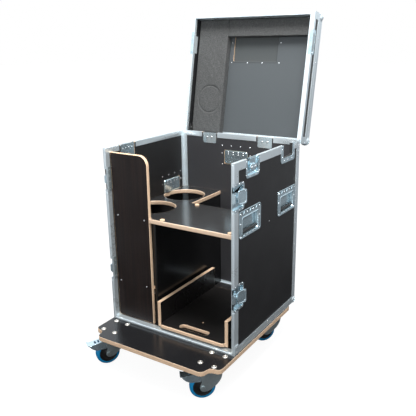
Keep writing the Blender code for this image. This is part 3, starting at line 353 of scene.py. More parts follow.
STEP = smooth_through(((0.0670, 0.0), (0.0550, 0.0050), (0.0485, 0.0150), (0.0456, 0.0285), (0.0400, 0.0385),
                       (0.0300, 0.0435), (0.0176, 0.0455), (0.0080, 0.0500), (0.0020, 0.0570), (0.0, 0.0660)))
BOARD_HALF = (board_high.x - board_low.x) / 2
BOARD_REAR = board_high.y - HOME[1]
BOARD_THICK = 0.018
right_front = np.column_stack([BOARD_HALF - STEP[:, 0], -BOARD_AHEAD + STEP[:, 1]])
right_rear = np.column_stack([BOARD_HALF - STEP[:, 0], BOARD_REAR - STEP[:, 1]])[::-1]
right_edge = np.concatenate([right_front, right_rear])
outline = np.concatenate([right_edge, (right_edge * (-1, 1))[::-1]])
underside = board_high.z - BOARD_THICK
board_film = film_faced("castor board film", (0, 0, 1), underside, (0.008, 0.008, 0.009), 0.22)
castor_board = board("castor_board_routed", [outline], -BOARD_THICK, 0.0, 0.0012, "Z", board_film, "case")
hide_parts("castor_board")

# Castors: bright zinc plates bolted up through the board with domed coach bolts, forks of a duller zinc that
# swivel under them, and on the front two a pressed brake pedal that reaches over the wheel.


def metal_group():
    """Cloudy zinc or drawn aluminium: the colour passes to its cloud's where noise is high.

    Roughness = its own value + a wide change with the same clouds + a fine one with the scratches.
    """
    tree, start, end = new_group(
        "worked metal",
        [("Colour", "Color", (0.8, 0.8, 0.8, 1.0)), ("Cloud", "Color", (0.6, 0.6, 0.6, 1.0)),
         ("Rough", "Float", 0.3), ("Size", "Float", 60.0)],
        [("Color", "Color"), ("Roughness", "Float"), ("Height", "Float")])
    spot = tree.nodes.new("ShaderNodeTexCoord")
    patch = tree.nodes.new("ShaderNodeTexNoise")
    patch.inputs["Detail"].default_value = 4.0
    tree.links.new(spot.outputs["Object"], patch.inputs["Vector"])
    tree.links.new(start.outputs["Size"], patch.inputs["Scale"])
    patches = ramp(tree, patch.outputs["Fac"], 0.35, 0.68)
    colour = mixed(tree, patches, start.outputs["Colour"], start.outputs["Cloud"])
    tree.links.new(colour, end.inputs["Color"])
    scratch = noise(tree, spot.outputs["Object"], 700.0, 2.0)
    broad = ramp(tree, patch.outputs["Fac"], 0.3, 0.7, -0.06, 0.10)
    rough = maths(tree, "ADD", start.outputs["Rough"], broad)
    rough = maths(tree, "ADD", rough, ramp(tree, scratch, 0.3, 0.7, -0.02, 0.04), True)
    tree.links.new(rough, end.inputs["Roughness"])
    tree.links.new(scratch, end.inputs["Height"])
    return tree


WORKED_METAL = metal_group()


def metal(name, colour, cloud, rough, size=60.0, metallic=1.0, marks=0.000008):
    """A worked metal: its colour and its clouds', their size in cells per metre, and its marks' depth."""
    made, tree, shader, spot = material(name)
    group = tree.nodes.new("ShaderNodeGroup")
    group.node_tree = WORKED_METAL
    group.inputs["Colour"].default_value = colour + (1.0,)
    group.inputs["Cloud"].default_value = cloud + (1.0,)
    group.inputs["Rough"].default_value = rough
    group.inputs["Size"].default_value = size
    tree.links.new(group.outputs["Color"], shader.inputs["Base Color"])
    tree.links.new(group.outputs["Roughness"], shader.inputs["Roughness"])
    shader.inputs["Metallic"].default_value = metallic
    bumped(tree, shader, group.outputs["Height"], marks)
    return made


zinc = metal("bright zinc plate", (0.70, 0.85, 0.91), (0.54, 0.68, 0.75), 0.17, 34.0, 0.85, 0.000002)
dull_zinc = metal("dull zinc plate", (0.54, 0.61, 0.62), (0.44, 0.51, 0.525), 0.36, 45.0, 0.85)
bolt_steel = metal("coach bolt heads", (0.80, 0.76, 0.70), (0.62, 0.58, 0.52), 0.34, 150.0)
rivet_steel = metal("rivet heads", (0.94, 0.96, 0.97), (0.84, 0.88, 0.90), 0.20, 150.0, 0.75)


def dressed(node, finish, bevel=0.0004, angle=32.0):
    """A CAD solid with its edges eased by the bevel's width and its round faces smooth, for the plain one."""
    source = frame["nodes"][node]
    data = bmesh.new()
    data.from_mesh(source.data)
    bmesh.ops.remove_doubles(data, verts=data.verts, dist=1e-5)
    bmesh.ops.dissolve_limit(data, angle_limit=math.radians(0.3), verts=data.verts, edges=data.edges)
    mesh = bpy.data.meshes.new(node + "_eased")
    data.to_mesh(mesh)
    data.free()
    thing = placed(node + "_eased", mesh, finish, source["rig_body"], angle)
    easing = thing.modifiers.new("ease", "BEVEL")
    easing.width = bevel
    easing.segments = 2
    easing.limit_method = "ANGLE"
    easing.angle_limit = math.radians(angle)
    easing.harden_normals = True
    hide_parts(node)
    return thing


def frame_at(normal):
    """Two directions across a normal, by cross products with the least aligned axis."""
    normal = np.asarray(normal, dtype=float)
    normal = normal / np.linalg.norm(normal, axis=-1, keepdims=True)
    guide = np.where(np.abs(normal[..., 2:3]) < 0.9, (0.0, 0.0, 1.0), (1.0, 0.0, 0.0))
    first = np.cross(guide, normal)
    first /= np.linalg.norm(first, axis=-1, keepdims=True)
    return first, np.cross(normal, first), normal


def turned_at(name, centres, axes, profile, steps, finish, body, angle=35.0):
    """A profile of (radius, height) turned about each axis, for all centres at once.

    Point = centre + r cos t x first + r sin t x second + h x normal, the directions square to each other.
    """
    centres = np.atleast_2d(np.asarray(centres, dtype=float))
    axes = np.broadcast_to(np.asarray(axes, dtype=float), centres.shape)
    first, second, normal = (direction[:, None, None] for direction in frame_at(axes))
    profile = np.asarray(profile, dtype=float)
    turn = np.linspace(0, 2 * math.pi, steps, endpoint=False)[None, None, :, None]
    r, h = (column[None, :, None, None] for column in profile.T)
    points = centres[:, None, None] + r * (np.cos(turn) * first + np.sin(turn) * second) + h * normal
    rows = len(profile)
    closed = profile[0, 0] > 0 and profile[-1, 0] > 0
    row = np.arange(rows if closed else rows - 1)[:, None]
    here = np.arange(steps)[None, :]
    a = row * steps + here
    b = row * steps + (here + 1) % steps
    c = (row + 1) % rows * steps + (here + 1) % steps
    d = (row + 1) % rows * steps + here
    quads = np.stack([a, b, c, d], axis=-1).reshape(-1, 4)
    quads = (quads[None] + (np.arange(len(centres)) * rows * steps)[:, None, None]).reshape(-1, 4)
    return piece(name, points.reshape(-1, 3), quads, finish, body, angle, True)


def dome(radius, height, lip=0.0004, steps=4):
    """Half of a flattened ball over a thin lip: r = R cos a, h = lip + (H - lip) sin a."""
    a = np.linspace(0, math.pi / 2, steps)
    rows = [(0.0, 0.0), (radius, 0.0)]
    rows += [(radius * math.cos(t) if t < 1.57 else 0.0, lip + (height - lip) * math.sin(t)) for t in a]
    return rows


def rivets(name, spots, normal, body, radius=0.0034, height=0.0013, finish=None, steps=10):
    """Rivet heads, one dome at each spot."""
    return turned_at(name, spots, normal, dome(radius, height), steps, finish or rivet_steel, body, 60.0)


def home_rivets(name, spots, normal, radius, height, body="case", finish=None):
    """Rivet heads at spots measured from HOME."""
    return rivets(name, np.array(spots) + HOME, normal, body, radius, height, finish)


JOINTS = {joint["name"]: joint for joint in frame["joints"]}
CASTORS = {name[len("swivel_"):]: joint for name, joint in JOINTS.items() if name.startswith("swivel_")}
BOLT_DX = 0.030
BOLT_DY = 0.040
COACH_BOLT = [(0.0, 0.0), (0.0106, 0.0), (0.0106, 0.0007), (0.0098, 0.0020), (0.0076, 0.0033),
              (0.0052, 0.0038), (0.0040, 0.0033), (0.0026, 0.0010), (0.0, 0.0009)]
BOLT_CORNERS = [(dx, dy) for dx in (-BOLT_DX, BOLT_DX) for dy in (-BOLT_DY, BOLT_DY)]
for where, joint in CASTORS.items():
    dressed("castor_plate_" + where, zinc, 0.0004)
    dressed("castor_fork_" + where, dull_zinc, 0.0005)
    if where.startswith("front"):
        dressed("brake_pedal_" + where, zinc, 0.0006)
        cx, cy, _ = joint["pos_m"]
        spots = [(cx + dx, cy + dy, HOME[2] + 0.0002) for dx, dy in BOLT_CORNERS]
        turned_at("coach_bolts_" + where, spots, (0, 0, 1), COACH_BOLT, 20, bolt_steel, "case", 40.0)


# Wheels: a blue elastic tread, bonded to a black moulded hub with a raised boss and rim. Each hub turns on
# the steel axle that its fork carries, so both ride on the wheel's own body.


def moulded(name, colour, rough, grain, speck=0.02, distance=0.00006):
    """Moulded plastic or rubber: an even colour, lighter by the speck where broad noise is high."""
    made, tree, shader, spot = material(name)
    fine = noise(tree, spot.outputs["Object"], grain, 3.0)
    broad = noise(tree, spot.outputs["Object"], 30.0, 2.0)
    lighter = tuple(min(1.0, value + speck) for value in colour)
    tree.links.new(mixed(tree, ramp(tree, broad, 0.35, 0.7), colour, lighter), shader.inputs["Base Color"])
    tree.links.new(ramp(tree, fine, 0.3, 0.7, rough - 0.06, rough + 0.06), shader.inputs["Roughness"])
    bumped(tree, shader, fine, distance)
    return made


tread_blue = moulded("blue elastic tread", (0.0, 0.230, 0.50), 0.50, 500.0, 0.01)
hub_black = moulded("black moulded hub", (0.006, 0.0055, 0.0055), 0.50, 500.0, 0.004)
TREAD = [(0.0374, -0.0166), (0.0440, -0.0160), (0.0472, -0.0140), (0.0492, -0.0108), (0.0500, -0.0060),
         (0.0500, 0.0060), (0.0492, 0.0108), (0.0472, 0.0140), (0.0440, 0.0160), (0.0374, 0.0166)]
half_hub = [(0.0374, 0.0158), (0.0348, 0.0158), (0.0340, 0.0150), (0.0328, 0.0118), (0.0250, 0.0112),
            (0.0160, 0.0112), (0.0146, 0.0120), (0.0140, 0.0158), (0.0125, 0.0168), (0.0066, 0.0168)]
HUB = [(r, -h) for r, h in half_hub[::-1]] + half_hub
for where in CASTORS:
    body = "wheel_" + where
    centre, axle = JOINTS[body]["pos_m"], JOINTS[body]["axis"]
    tread = turned_at("tread_" + where, centre, axle, TREAD, 72, tread_blue, body)
    hub = turned_at("hub_" + where, centre, axle, HUB, 72, hub_black, body)
    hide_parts("castor_" + body)
    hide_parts("castor_" + body)

# Walls and floor: 9.5 mm plywood with a dark resin film, slid into the aluminium angles. They are cut out for
# the handles, latches, hinges and cable port that are let in, and the cut edges are left bare.
HALF = 0.300
DEPTH = 0.550
HEIGHT = 0.743
SKIN = 0.0018
SIDES = (("left", -1), ("right", 1))
FILM_DARK = (0.0100, 0.0096, 0.0100)
FILM_BLACK = (0.006, 0.006, 0.0065)


def refinish(node, finish):
    """A CAD node keeps its shape and takes a better finish."""
    thing = frame["nodes"][node]
    thing.data.materials.clear()
    thing.data.materials.append(finish)


for side, sign in SIDES:
    outside = HOME[0] + sign * (HALF - SKIN)
    refinish(side + "_panel", film_faced(side + " wall film", (1, 0, 0), outside, FILM_DARK, 0.42))
# The rear wall takes a lighter copy of the walls' film: painted light, for its inside that faces the front lamps.
rear_film_painted_lighter = film_faced("rear wall film painted lighter", (0, 1, 0), HOME[1] + DEPTH - SKIN, (0.034, 0.034, 0.037), 0.42)
refinish("back_panel", rear_film_painted_lighter)
refinish("floor_panel", film_faced("floor film", (0, 0, 1), HOME[2], FILM_DARK, 0.34))

# Aluminium: drawn angles riveted along every edge, with corner brackets over their joints. The front rim is a
# closing profile with a rounded tongue all round it, which the cover's groove slips over, and the top rim has
# a lower one for the lid.
aluminium = metal("drawn aluminium", (0.80, 0.88, 0.91), (0.75, 0.83, 0.865), 0.30, 12.0, 0.70, 0.000001)
for node in ("case_frame", "top_rim_left", "top_rim_right", "top_rim_rear", "lid_frame"):
    dressed(node, aluminium, 0.0006)
RIM_MID = 0.0066


def tongue(half, tall, sign=1):
    """Half of a flattened ellipse: along = half cos t, out = tall sin t, from edge to edge."""
    t = np.linspace(0, math.pi, 9)
    return np.column_stack([half * np.cos(t), sign * tall * np.sin(t)])


def bar(name, loop, low, high, axis, radius, finish, body):
    """A straight length of profile: the section's outline carried along one axis, its ends rounded over."""
    return board(name, [np.asarray(loop, dtype=float)], low, high, radius, axis, finish, body)


POST_STOPS = [(0.012, 0.178), (0.288, 0.562), (0.672, 0.738)]
FRONT_TONGUE = tongue(0.0030, 0.0022, -1)
TOP_TONGUE = tongue(0.0030, 0.0009)
for side, sign in SIDES:
    for number, (low, high) in enumerate(POST_STOPS):
        section = FRONT_TONGUE + (sign * (HALF - RIM_MID), 0.0001)
        bar("front_tongue_%s_%d" % (side, number + 1), section, low, high, "Z", 0.0004, aluminium, "case")
    for number, (low, high) in enumerate(((0.004, 0.0815), (0.1885, 0.3880 if sign > 0 else 0.5380))):
        section = TOP_TONGUE + (sign * (HALF - RIM_MID), HEIGHT - 0.0001)
        bar("top_tongue_%s_%d" % (side, number + 1), section, low, high, "Y", 0.0002, aluminium, "case")
section = (FRONT_TONGUE + (0.0070, 0.0001))[:, ::-1]
bar("front_tongue_low", section, -HALF + 0.012, HALF - 0.012, "X", 0.0004, aluminium, "case")
section = TOP_TONGUE + (DEPTH - RIM_MID, HEIGHT - 0.0001)
bar("top_tongue_rear", section, -0.0985, 0.0985, "X", 0.0002, aluminium, "case")
FLAT_HEAD = (0.0026, 0.0008)
LEG_MID = 0.0215
up_row = np.arange(0.085, 0.68, 0.0985)
back_row = np.arange(0.070, 0.50, 0.1050)
for side, sign in SIDES:
    spots = [(sign * HALF, DEPTH - LEG_MID, z) for z in up_row]
    spots += [(sign * HALF, y, LEG_MID) for y in back_row]
    home_rivets("side_angle_rivets_" + side, spots, (sign, 0, 0), *FLAT_HEAD)
    spots = [(sign * (HALF - LEG_MID), DEPTH, z) for z in up_row]
    home_rivets("rear_angle_rivets_" + side, spots, (0, 1, 0), *FLAT_HEAD)
spots = [(x, DEPTH, LEG_MID) for x in np.linspace(-0.22, 0.22, 5)]
home_rivets("rear_low_rivets", spots, (0, 1, 0), *FLAT_HEAD)
BRACKET_RIVETS = [(DEPTH - 0.013, 0.700), (DEPTH - 0.013, 0.722), (DEPTH - 0.045, 0.727), (0.016, 0.012),
                  (0.016, 0.031)]
for side, sign in SIDES:
    spots = [(sign * (HALF + 0.0014), y, z) for y, z in BRACKET_RIVETS]
    home_rivets("corner_bracket_rivets_" + side, spots, (sign, 0, 0), 0.0028, 0.0012)

# Cable port: a notch in the right wall's top edge with a zinc frame riveted round it outside, and a black
# rubber edging pressed over the bare plywood.
PORT_Y = (0.390, 0.480)
PORT_Z = 0.6906
PORT_RIM = 0.0200
RIM_R = 0.012


def port_curve(radius, inset, rearwards):
    """Both lower corners of the notch as arcs, their centres one inset in from its sides and its foot."""
    rear = (PORT_Y[1] - inset, PORT_Z + inset)
    front = (PORT_Y[0] + inset, PORT_Z + inset)
    if rearwards:
        return np.concatenate([arc(front, radius, 180, 270, 5), arc(rear, radius, 270, 360, 5)])
    return np.concatenate([arc(rear, radius, 0, -90, 5), arc(front, radius, 270, 180, 5)])


rim_low = PORT_Z - PORT_RIM + RIM_R
RIM_TOP = 0.7405
LINING_TOP = 0.7400
outer = np.concatenate([arc((PORT_Y[0] - PORT_RIM + RIM_R, rim_low), RIM_R, 180, 270, 6),
                        arc((PORT_Y[1] + PORT_RIM - RIM_R, rim_low), RIM_R, 270, 360, 6),
                        [(PORT_Y[1] + PORT_RIM, RIM_TOP), (PORT_Y[1] - 0.0003, RIM_TOP)]])
inner = np.concatenate([port_curve(0.008, 0.0083, False),
                        [(PORT_Y[0] + 0.0003, RIM_TOP), (PORT_Y[0] - PORT_RIM, RIM_TOP)]])
section = np.concatenate([outer, inner])
bar("cable_port_frame", section, HALF - 0.0010, HALF + 0.0008, "X", 0.0005, zinc, "case")
port_rubber = moulded("port edging rubber", (0.012, 0.012, 0.012), 0.6, 300.0, 0.006)
lining = np.concatenate([port_curve(0.0080, 0.0080, False),
                         [(PORT_Y[0], LINING_TOP), (PORT_Y[0] + 0.0012, LINING_TOP)],
                         port_curve(0.0068, 0.0080, True),
                         [(PORT_Y[1] - 0.0012, LINING_TOP), (PORT_Y[1], LINING_TOP)]])
bar("cable_port_edging", lining, 0.2858, HALF - 0.0012, "X", 0.0003, port_rubber, "case")
PORT_RIVETS = [(0.3800, 0.7270), (0.3800, 0.6960), (0.3980, 0.6800), (0.4350, 0.6800), (0.4720, 0.6800),
               (0.4900, 0.6960)]
home_rivets("cable_port_rivets", [(HALF + 0.0008, y, z) for y, z in PORT_RIVETS], (1, 0, 0), 0.0030, 0.0013)

# Ball corners: zinc caps pressed as part of a ball, three rivets each, over the rear bottom corners of the
# case. The lid has its own four.
BALL_R = 0.0203
BALL_IN = 0.014


def ball_corner(name, centre, out, body):
    """A cap of a ball about the outward diagonal: r = R sin a, h = R cos a, over a smaller one inside it."""
    a = np.radians(np.linspace(0, 50, 9))
    over, under = BALL_R + 0.0007, BALL_R - 0.0008
    cap = [(0.0, over)] + [(over * math.sin(t), over * math.cos(t)) for t in a[1:]]
    cap += [(under * math.sin(t), under * math.cos(t)) for t in a[:0:-1]] + [(0.0, under)]
    out = np.asarray(out, dtype=float) / math.sqrt(3)
    turned_at(name, centre, out, cap, 36, zinc, body, 40.0)
    first, second, _ = frame_at(out)
    turn = np.radians((90, 210, 330))[:, None]
    lean = 0.62
    aim = math.cos(lean) * out + math.sin(lean) * (np.cos(turn) * first + np.sin(turn) * second)
    rivets(name + "_rivets", centre + (BALL_R + 0.0004) * aim, aim, body, 0.0030, 0.0014)


for side, sign in SIDES:
    place = HOME + (sign * (HALF - BALL_IN), DEPTH - BALL_IN, 0.0003 + BALL_IN)
    ball_corner("ball_corner_" + side, place, (sign, 1, -1), "case")

# Inner angles: in the two rear corners an aluminium angle covers the joint of the walls. The shelf parts it
# into an upper and a lower length.
INSIDE_X = 0.2866
INSIDE_Y = 0.5366
ANGLE_LEG = 0.0200
ANGLE_T = 0.0012
SHELF_Z = 0.456
SHELF_T = 0.018
ANGLE = np.array([(0, 0), (0, ANGLE_LEG), (ANGLE_T, ANGLE_LEG), (ANGLE_T * 2.5, ANGLE_T * 2.5),
                  (ANGLE_LEG, ANGLE_T), (ANGLE_LEG, 0)])
ANGLE_SPANS = (("upper", SHELF_Z + SHELF_T + 0.0003, HEIGHT - 0.0225), ("lower", 0.0120, SHELF_Z - 0.0005))
for side, sign in SIDES:
    section = ANGLE * (-sign, -1) + (sign * INSIDE_X, INSIDE_Y)
    for part, low, high in ANGLE_SPANS:
        bar("inner_angle_%s_%s" % (part, side), section, low, high, "Z", 0.0001, aluminium, "case")

# Inside boards: the face panel with its one rounded corner, brown and with its grain upright, then the shelf
# with two round holes and its pegs, and behind them divider, liner and lower shelf. Their edges are bare, all but
# the divider's.
FACE_Y = 0.0245
FACE_T = 0.0147
FACE_X = (-0.2863, -0.1020)
PANEL_LOW = 0.0137
FACE_TOP = HEIGHT - 0.018
FACE_R = 0.042
FACE_BROWN = (0.0060, 0.0028, 0.0022)
face_film = film_faced("face panel film", (0, 1, 0), HOME[1] + FACE_Y, FACE_BROWN, 0.42, 1.0, 0.26)
tree = face_film.node_tree
stretch = add(tree, "Mapping", Scale=(90.0, 90.0, 2.2))
tree.links.new(tree.nodes["Texture Coordinate"].outputs["Object"], stretch.inputs["Vector"])
streaks = ramp(tree, noise(tree, stretch.outputs["Vector"], 1.0, 4.0, 0.6), 0.40, 0.75, 0.0, 0.55)
group = next(item for item in tree.nodes if item.type == "GROUP")
veined = mixed(tree, streaks, group.outputs["Color"], (0.030, 0.016, 0.012))
veined = mixed(tree, group.outputs["Edge"], veined, group.outputs["Color"])
tree.links.new(veined, tree.nodes["Principled BSDF"].inputs["Base Color"])
face = round_rect((FACE_X[0], PANEL_LOW), (FACE_X[1], FACE_TOP), (0, 0, FACE_R, 0), 14)
face_panel = board("face_panel_routed", [face], FACE_Y, FACE_Y + FACE_T, 0.0030, "Y", face_film, "case")
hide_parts("face_panel")

SHELF_DEPTH = 0.300
BEHIND = FACE_Y + FACE_T + 0.0003
SHELF_X = 0.2832
STRIP_X = -0.083
HOLE_R = 0.0915
HOLE_X = -0.190
HOLE_Y = (0.170, 0.395)
shelf_film = film_faced("shelf film", (0, 0, 1), HOME[2] + SHELF_Z, (0.022, 0.022, 0.022), 0.18, 1.0, 1.0)
shelf_film.node_tree.nodes["Principled BSDF"].inputs["IOR"].default_value = 1.75
BESIDE = FACE_X[1] + 0.0003
outline = np.array([(-SHELF_X, BEHIND), (BESIDE, BEHIND), (BESIDE, FACE_Y), (SHELF_X, FACE_Y),
                    (SHELF_X, SHELF_DEPTH), (STRIP_X, SHELF_DEPTH), (STRIP_X, INSIDE_Y), (-SHELF_X, INSIDE_Y)])
holes = [arc((HOLE_X, y), HOLE_R, 0, 360, 72)[:-1] for y in HOLE_Y]
shelf = board("shelf_routed", [outline] + holes, SHELF_Z, SHELF_Z + SHELF_T, 0.0030, "Z", shelf_film, "case")
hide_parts("shelf")
peg_wood = film_faced("peg wood", (0, 0, 1), 0.0, (0.80, 0.55, 0.34), 0.5)
PEG = [(0.0, 0.0), (0.0100, 0.0), (0.0100, 0.0046), (0.0088, 0.0058), (0.0, 0.0058)]
PEG_SPOTS = [(x, y, SHELF_Z + SHELF_T - 0.001) for x in (-0.045, 0.262) for y in (0.036, 0.281)]
pegs = turned_at("shelf_pegs", np.array(PEG_SPOTS) + HOME, (0, 0, 1), PEG, 24, peg_wood, "case")
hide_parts("shelf")
LOWER_SHELF_Z = 0.168
refinish("lower_shelf", film_faced("lower shelf film", (0, 0, 1), HOME[2] + LOWER_SHELF_Z, FILM_DARK, 0.3))
refinish("divider", film_faced("divider film", (1, 0, 0), HOME[0] - 0.099, FILM_BLACK, 0.20, 0.0))
refinish("liner", film_faced("liner film", (1, 0, 0), HOME[0] + 0.2746, FILM_BLACK, 0.26))

# Tray: a base board with a hand slot, housed in two side boards, all with rounded bare edges. It slides
# forward between two black plastic runners screwed to the floor.
TRAY_X = (-0.0710, 0.2626)
TRAY_Y = (0.0035, 0.438)
TRAY_Z = 0.0195
TRAY_T = 0.015
TRAY_TOP = TRAY_Z + 0.109
HOUSED = 0.004
SLOT_MID = np.array((0.0915, 0.0415))
SLOT_HALF = np.array((0.0665, 0.014))
TRAY_FILM = (0.009, 0.008, 0.0075)
tray_film = film_faced("tray base film", (0, 0, 1), HOME[2] + TRAY_Z, TRAY_FILM, 0.32)
base_x = (TRAY_X[0] + TRAY_T - HOUSED, TRAY_X[1] - TRAY_T + HOUSED)
outline = round_rect((base_x[0], TRAY_Y[0]), (base_x[1], TRAY_Y[1]), (0.018, 0.018, 0, 0), 8)
slot = round_rect(SLOT_MID - SLOT_HALF, SLOT_MID + SLOT_HALF, (SLOT_HALF[1] * 0.999,) * 4, 10)
tray = board("tray_base_routed", [outline, slot], TRAY_Z, TRAY_Z + TRAY_T, 0.0030, "Z", tray_film, "tray")
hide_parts("tray")
outline = round_rect((TRAY_Y[0] + 0.0125, TRAY_Z), (TRAY_Y[1] - 0.003, TRAY_TOP), (0, 0, 0.002, 0.002), 3)
black_plastic = moulded("black runner plastic", (0.010, 0.010, 0.010), 0.5, 400.0, 0.008)
for side, x in (("left", TRAY_X[0]), ("right", TRAY_X[1] - TRAY_T)):
    side_film = film_faced("tray %s side film" % side, (1, 0, 0), HOME[0] + x, TRAY_FILM, 0.26)
    wall = board("tray_side_%s_routed" % side, [outline], x, x + TRAY_T, 0.0016, "X", side_film, "tray")
    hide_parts("tray")
    refinish("runner_" + side, black_plastic)

# Recessed handles: a pressed zinc dish riveted over its cut-out, two on each side wall and one in the rear
# wall. A bail of two flat steel arms and a black rubber grip folds into it on a pin and spring.
PLY = 0.0095


def on_wall(side, along, up):
    """A place on a wall's film and the wall's own directions: across, up and outward."""
    if side == "back":
        return HOME + (along, DEPTH - SKIN, up), np.array(((-1, 0, 0), (0, 0, 1), (0, 1, 0)), dtype=float)
    sign = dict(SIDES)[side]
    flat = sign * (HALF - SKIN)
    return HOME + (flat, along, up), np.array(((0, sign, 0), (0, 0, 1), (sign, 0, 0)), dtype=float)


def rounded_rings(rings, corner_steps=5):
    """Rounded rectangles as rows, each given as (half width, half height, middle y, radius, z).

    x = sx (a - r) + r cos t, y = m + sy (b - r) + r sin t, with the corner's own signs.
    """
    turn = np.concatenate([np.linspace(90 * k, 90 * k + 90, corner_steps + 1) for k in range(4)])
    cosine, sine = np.cos(np.radians(turn)), np.sin(np.radians(turn))
    sx = np.repeat((1, -1, -1, 1), corner_steps + 1)
    sy = np.repeat((1, 1, -1, -1), corner_steps + 1)
    half_x, half_y, middle, radius, z = (column[:, None] for column in np.array(rings).T)
    x = sx * (half_x - radius) + radius * cosine
    y = middle + sy * (half_y - radius) + radius * sine
    return np.stack([x, y, np.broadcast_to(z, x.shape)], axis=-1)


def pressed(name, rings, origin, axes, finish, body):
    """A pressed shell: rounded rectangles from its face's middle, over the edge, to its back's middle."""
    rows = rounded_rings(rings)
    count, size = rows.shape[:2]
    index = np.arange(count * size).reshape(count, size)
    around = np.roll(index, -1, axis=1)
    walls = np.stack([index[:-1], around[:-1], around[1:], index[1:]], axis=-1)
    faces = walls.reshape(-1, 4).tolist() + [index[0].tolist(), index[-1].tolist()]
    return piece(name, rows.reshape(-1, 3) @ axes + origin, faces, finish, body, 30.0)


DISH = [(0.0300, 0.0120, -0.008, 0.0040, -0.0121), (0.0535, 0.0255, -0.008, 0.0050, -0.0120),
        (0.0555, 0.0275, -0.008, 0.0056, -0.0114), (0.0566, 0.0286, -0.008, 0.0058, -0.0100),
        (0.0604, 0.0324, -0.008, 0.0056, -0.0008), (0.0606, 0.0326, -0.008, 0.0058, 0.0012),
        (0.0614, 0.0334, -0.008, 0.0064, 0.0026), (0.0626, 0.0346, -0.008, 0.0074, 0.0027),
        (0.0638, 0.0358, -0.008, 0.0084, 0.0016), (0.0652, 0.0372, -0.008, 0.0094, 0.0012),
        (0.0800, 0.0488, 0.0, 0.0095, 0.0012), (0.0816, 0.0502, 0.0, 0.0108, 0.0020),
        (0.0828, 0.0514, 0.0, 0.0114, 0.0020), (0.0838, 0.0523, 0.0, 0.0119, 0.0013),
        (0.0840, 0.0525, 0.0, 0.0120, 0.0003), (0.0616, 0.0336, -0.008, 0.0056, 0.0003),
        (0.0578, 0.0298, -0.008, 0.0060, -0.0104), (0.0562, 0.0282, -0.008, 0.0060, -0.0128),
        (0.0300, 0.0120, -0.008, 0.0040, -0.0133)]
HANDLE_UP = 0.508
HANDLES = {"%s_%s" % (side, end): (side, along, HANDLE_UP)
           for side in ("right", "left") for end, along in (("front", 0.119), ("rear", 0.436))}
HANDLES["back"] = ("back", -0.002, 0.645)
grip_rubber = moulded("grip rubber", (0.012, 0.012, 0.012), 0.55, 300.0, 0.008)
BAIL_TOP = 0.0175
BAIL_DEEP = -0.0060
BAIL_LOW = -0.0318
BAIL_X = 0.0545
ARM_T = 0.0032
half_grip = [(0.0060, 0.0512), (0.0054, 0.0522), (0.0060, 0.0530), (0.0060, 0.0556), (0.0050, 0.0566),
             (0.0, 0.0566)]
GRIP = [(r, -h) for r, h in half_grip[::-1]] + [(0.0062, 0.0)] + half_grip
TOP_RIVETS = [(x, 0.0410) for x in (-0.0715, -0.0235, 0.0235, 0.0715)]
OTHER_RIVETS = [(-0.0730, 0.0040), (0.0730, 0.0040)]
OTHER_RIVETS += [(x, -0.0462) for x in (-0.0720, -0.0240, 0.0240, 0.0720)]
RIBS = [(x, 0.0400) for x in (-0.0475, 0.0, 0.0475)]
LOW_RIBS = [(x, -0.0462) for x in (-0.0480, 0.0, 0.0480)]
KNOBS = [(x, y) for x in (-0.038, -0.013, 0.013, 0.038) for y in (0.0155, 0.0060)]


def ribs(name, spots, half, origin, axes, finish, body, z, lean=0.0):
    """Pressed ribs, each half of a flattened ball that may lean.

    h = c sin e over x = a cos e cos t + lean x y, y = b cos e sin t.
    """
    climb = np.linspace(0, math.pi / 2, 4)[:, None]
    turn = np.linspace(0, 2 * math.pi, 12, endpoint=False)
    x = np.cos(climb) * np.cos(turn) * half[0]
    y = np.cos(climb) * np.sin(turn) * half[1]
    h = np.broadcast_to(np.sin(climb) * half[2], x.shape)
    shape = np.stack([x + lean * y, y, h], axis=-1).reshape(-1, 3)
    places = np.array([(across, up, z) for across, up in spots])
    points = (shape + places[:, None]).reshape(-1, 3)
    index = np.arange(x.size).reshape(x.shape)
    around = np.roll(index, -1, axis=1)
    walls = np.stack([index[:-1], around[:-1], around[1:], index[1:]], axis=-1).reshape(-1, 4)
    faces = []
    for first in range(0, len(points), x.size):
        faces += (walls + first).tolist() + [(index[0] + first).tolist()]
    return piece(name, points @ axes + origin, faces, finish, body, 60.0, True)


def spots_at(pairs, z, origin, axes):
    """Point = origin + x across + y up + z outward."""
    return np.array([(x, y, z) for x, y in pairs]) @ axes + origin


def local_board(name, loop, low, high, radius, origin, axes, finish, body):
    """A routed plate in a wall's own directions."""
    made = board(name, [loop], low, high, radius, "Z", finish, body)
    points = np.empty(len(made.data.vertices) * 3)
    made.data.vertices.foreach_get("co", points)
    points = (points.reshape(-1, 3) - HOME) @ axes + origin
    made.data.vertices.foreach_set("co", points.ravel())
    made.data.update()
    return made


def turned_round(axes):
    """A wall's directions as they are seen from inside: across and outward are turned over."""
    return axes * np.array((-1, 1, -1))[:, None]


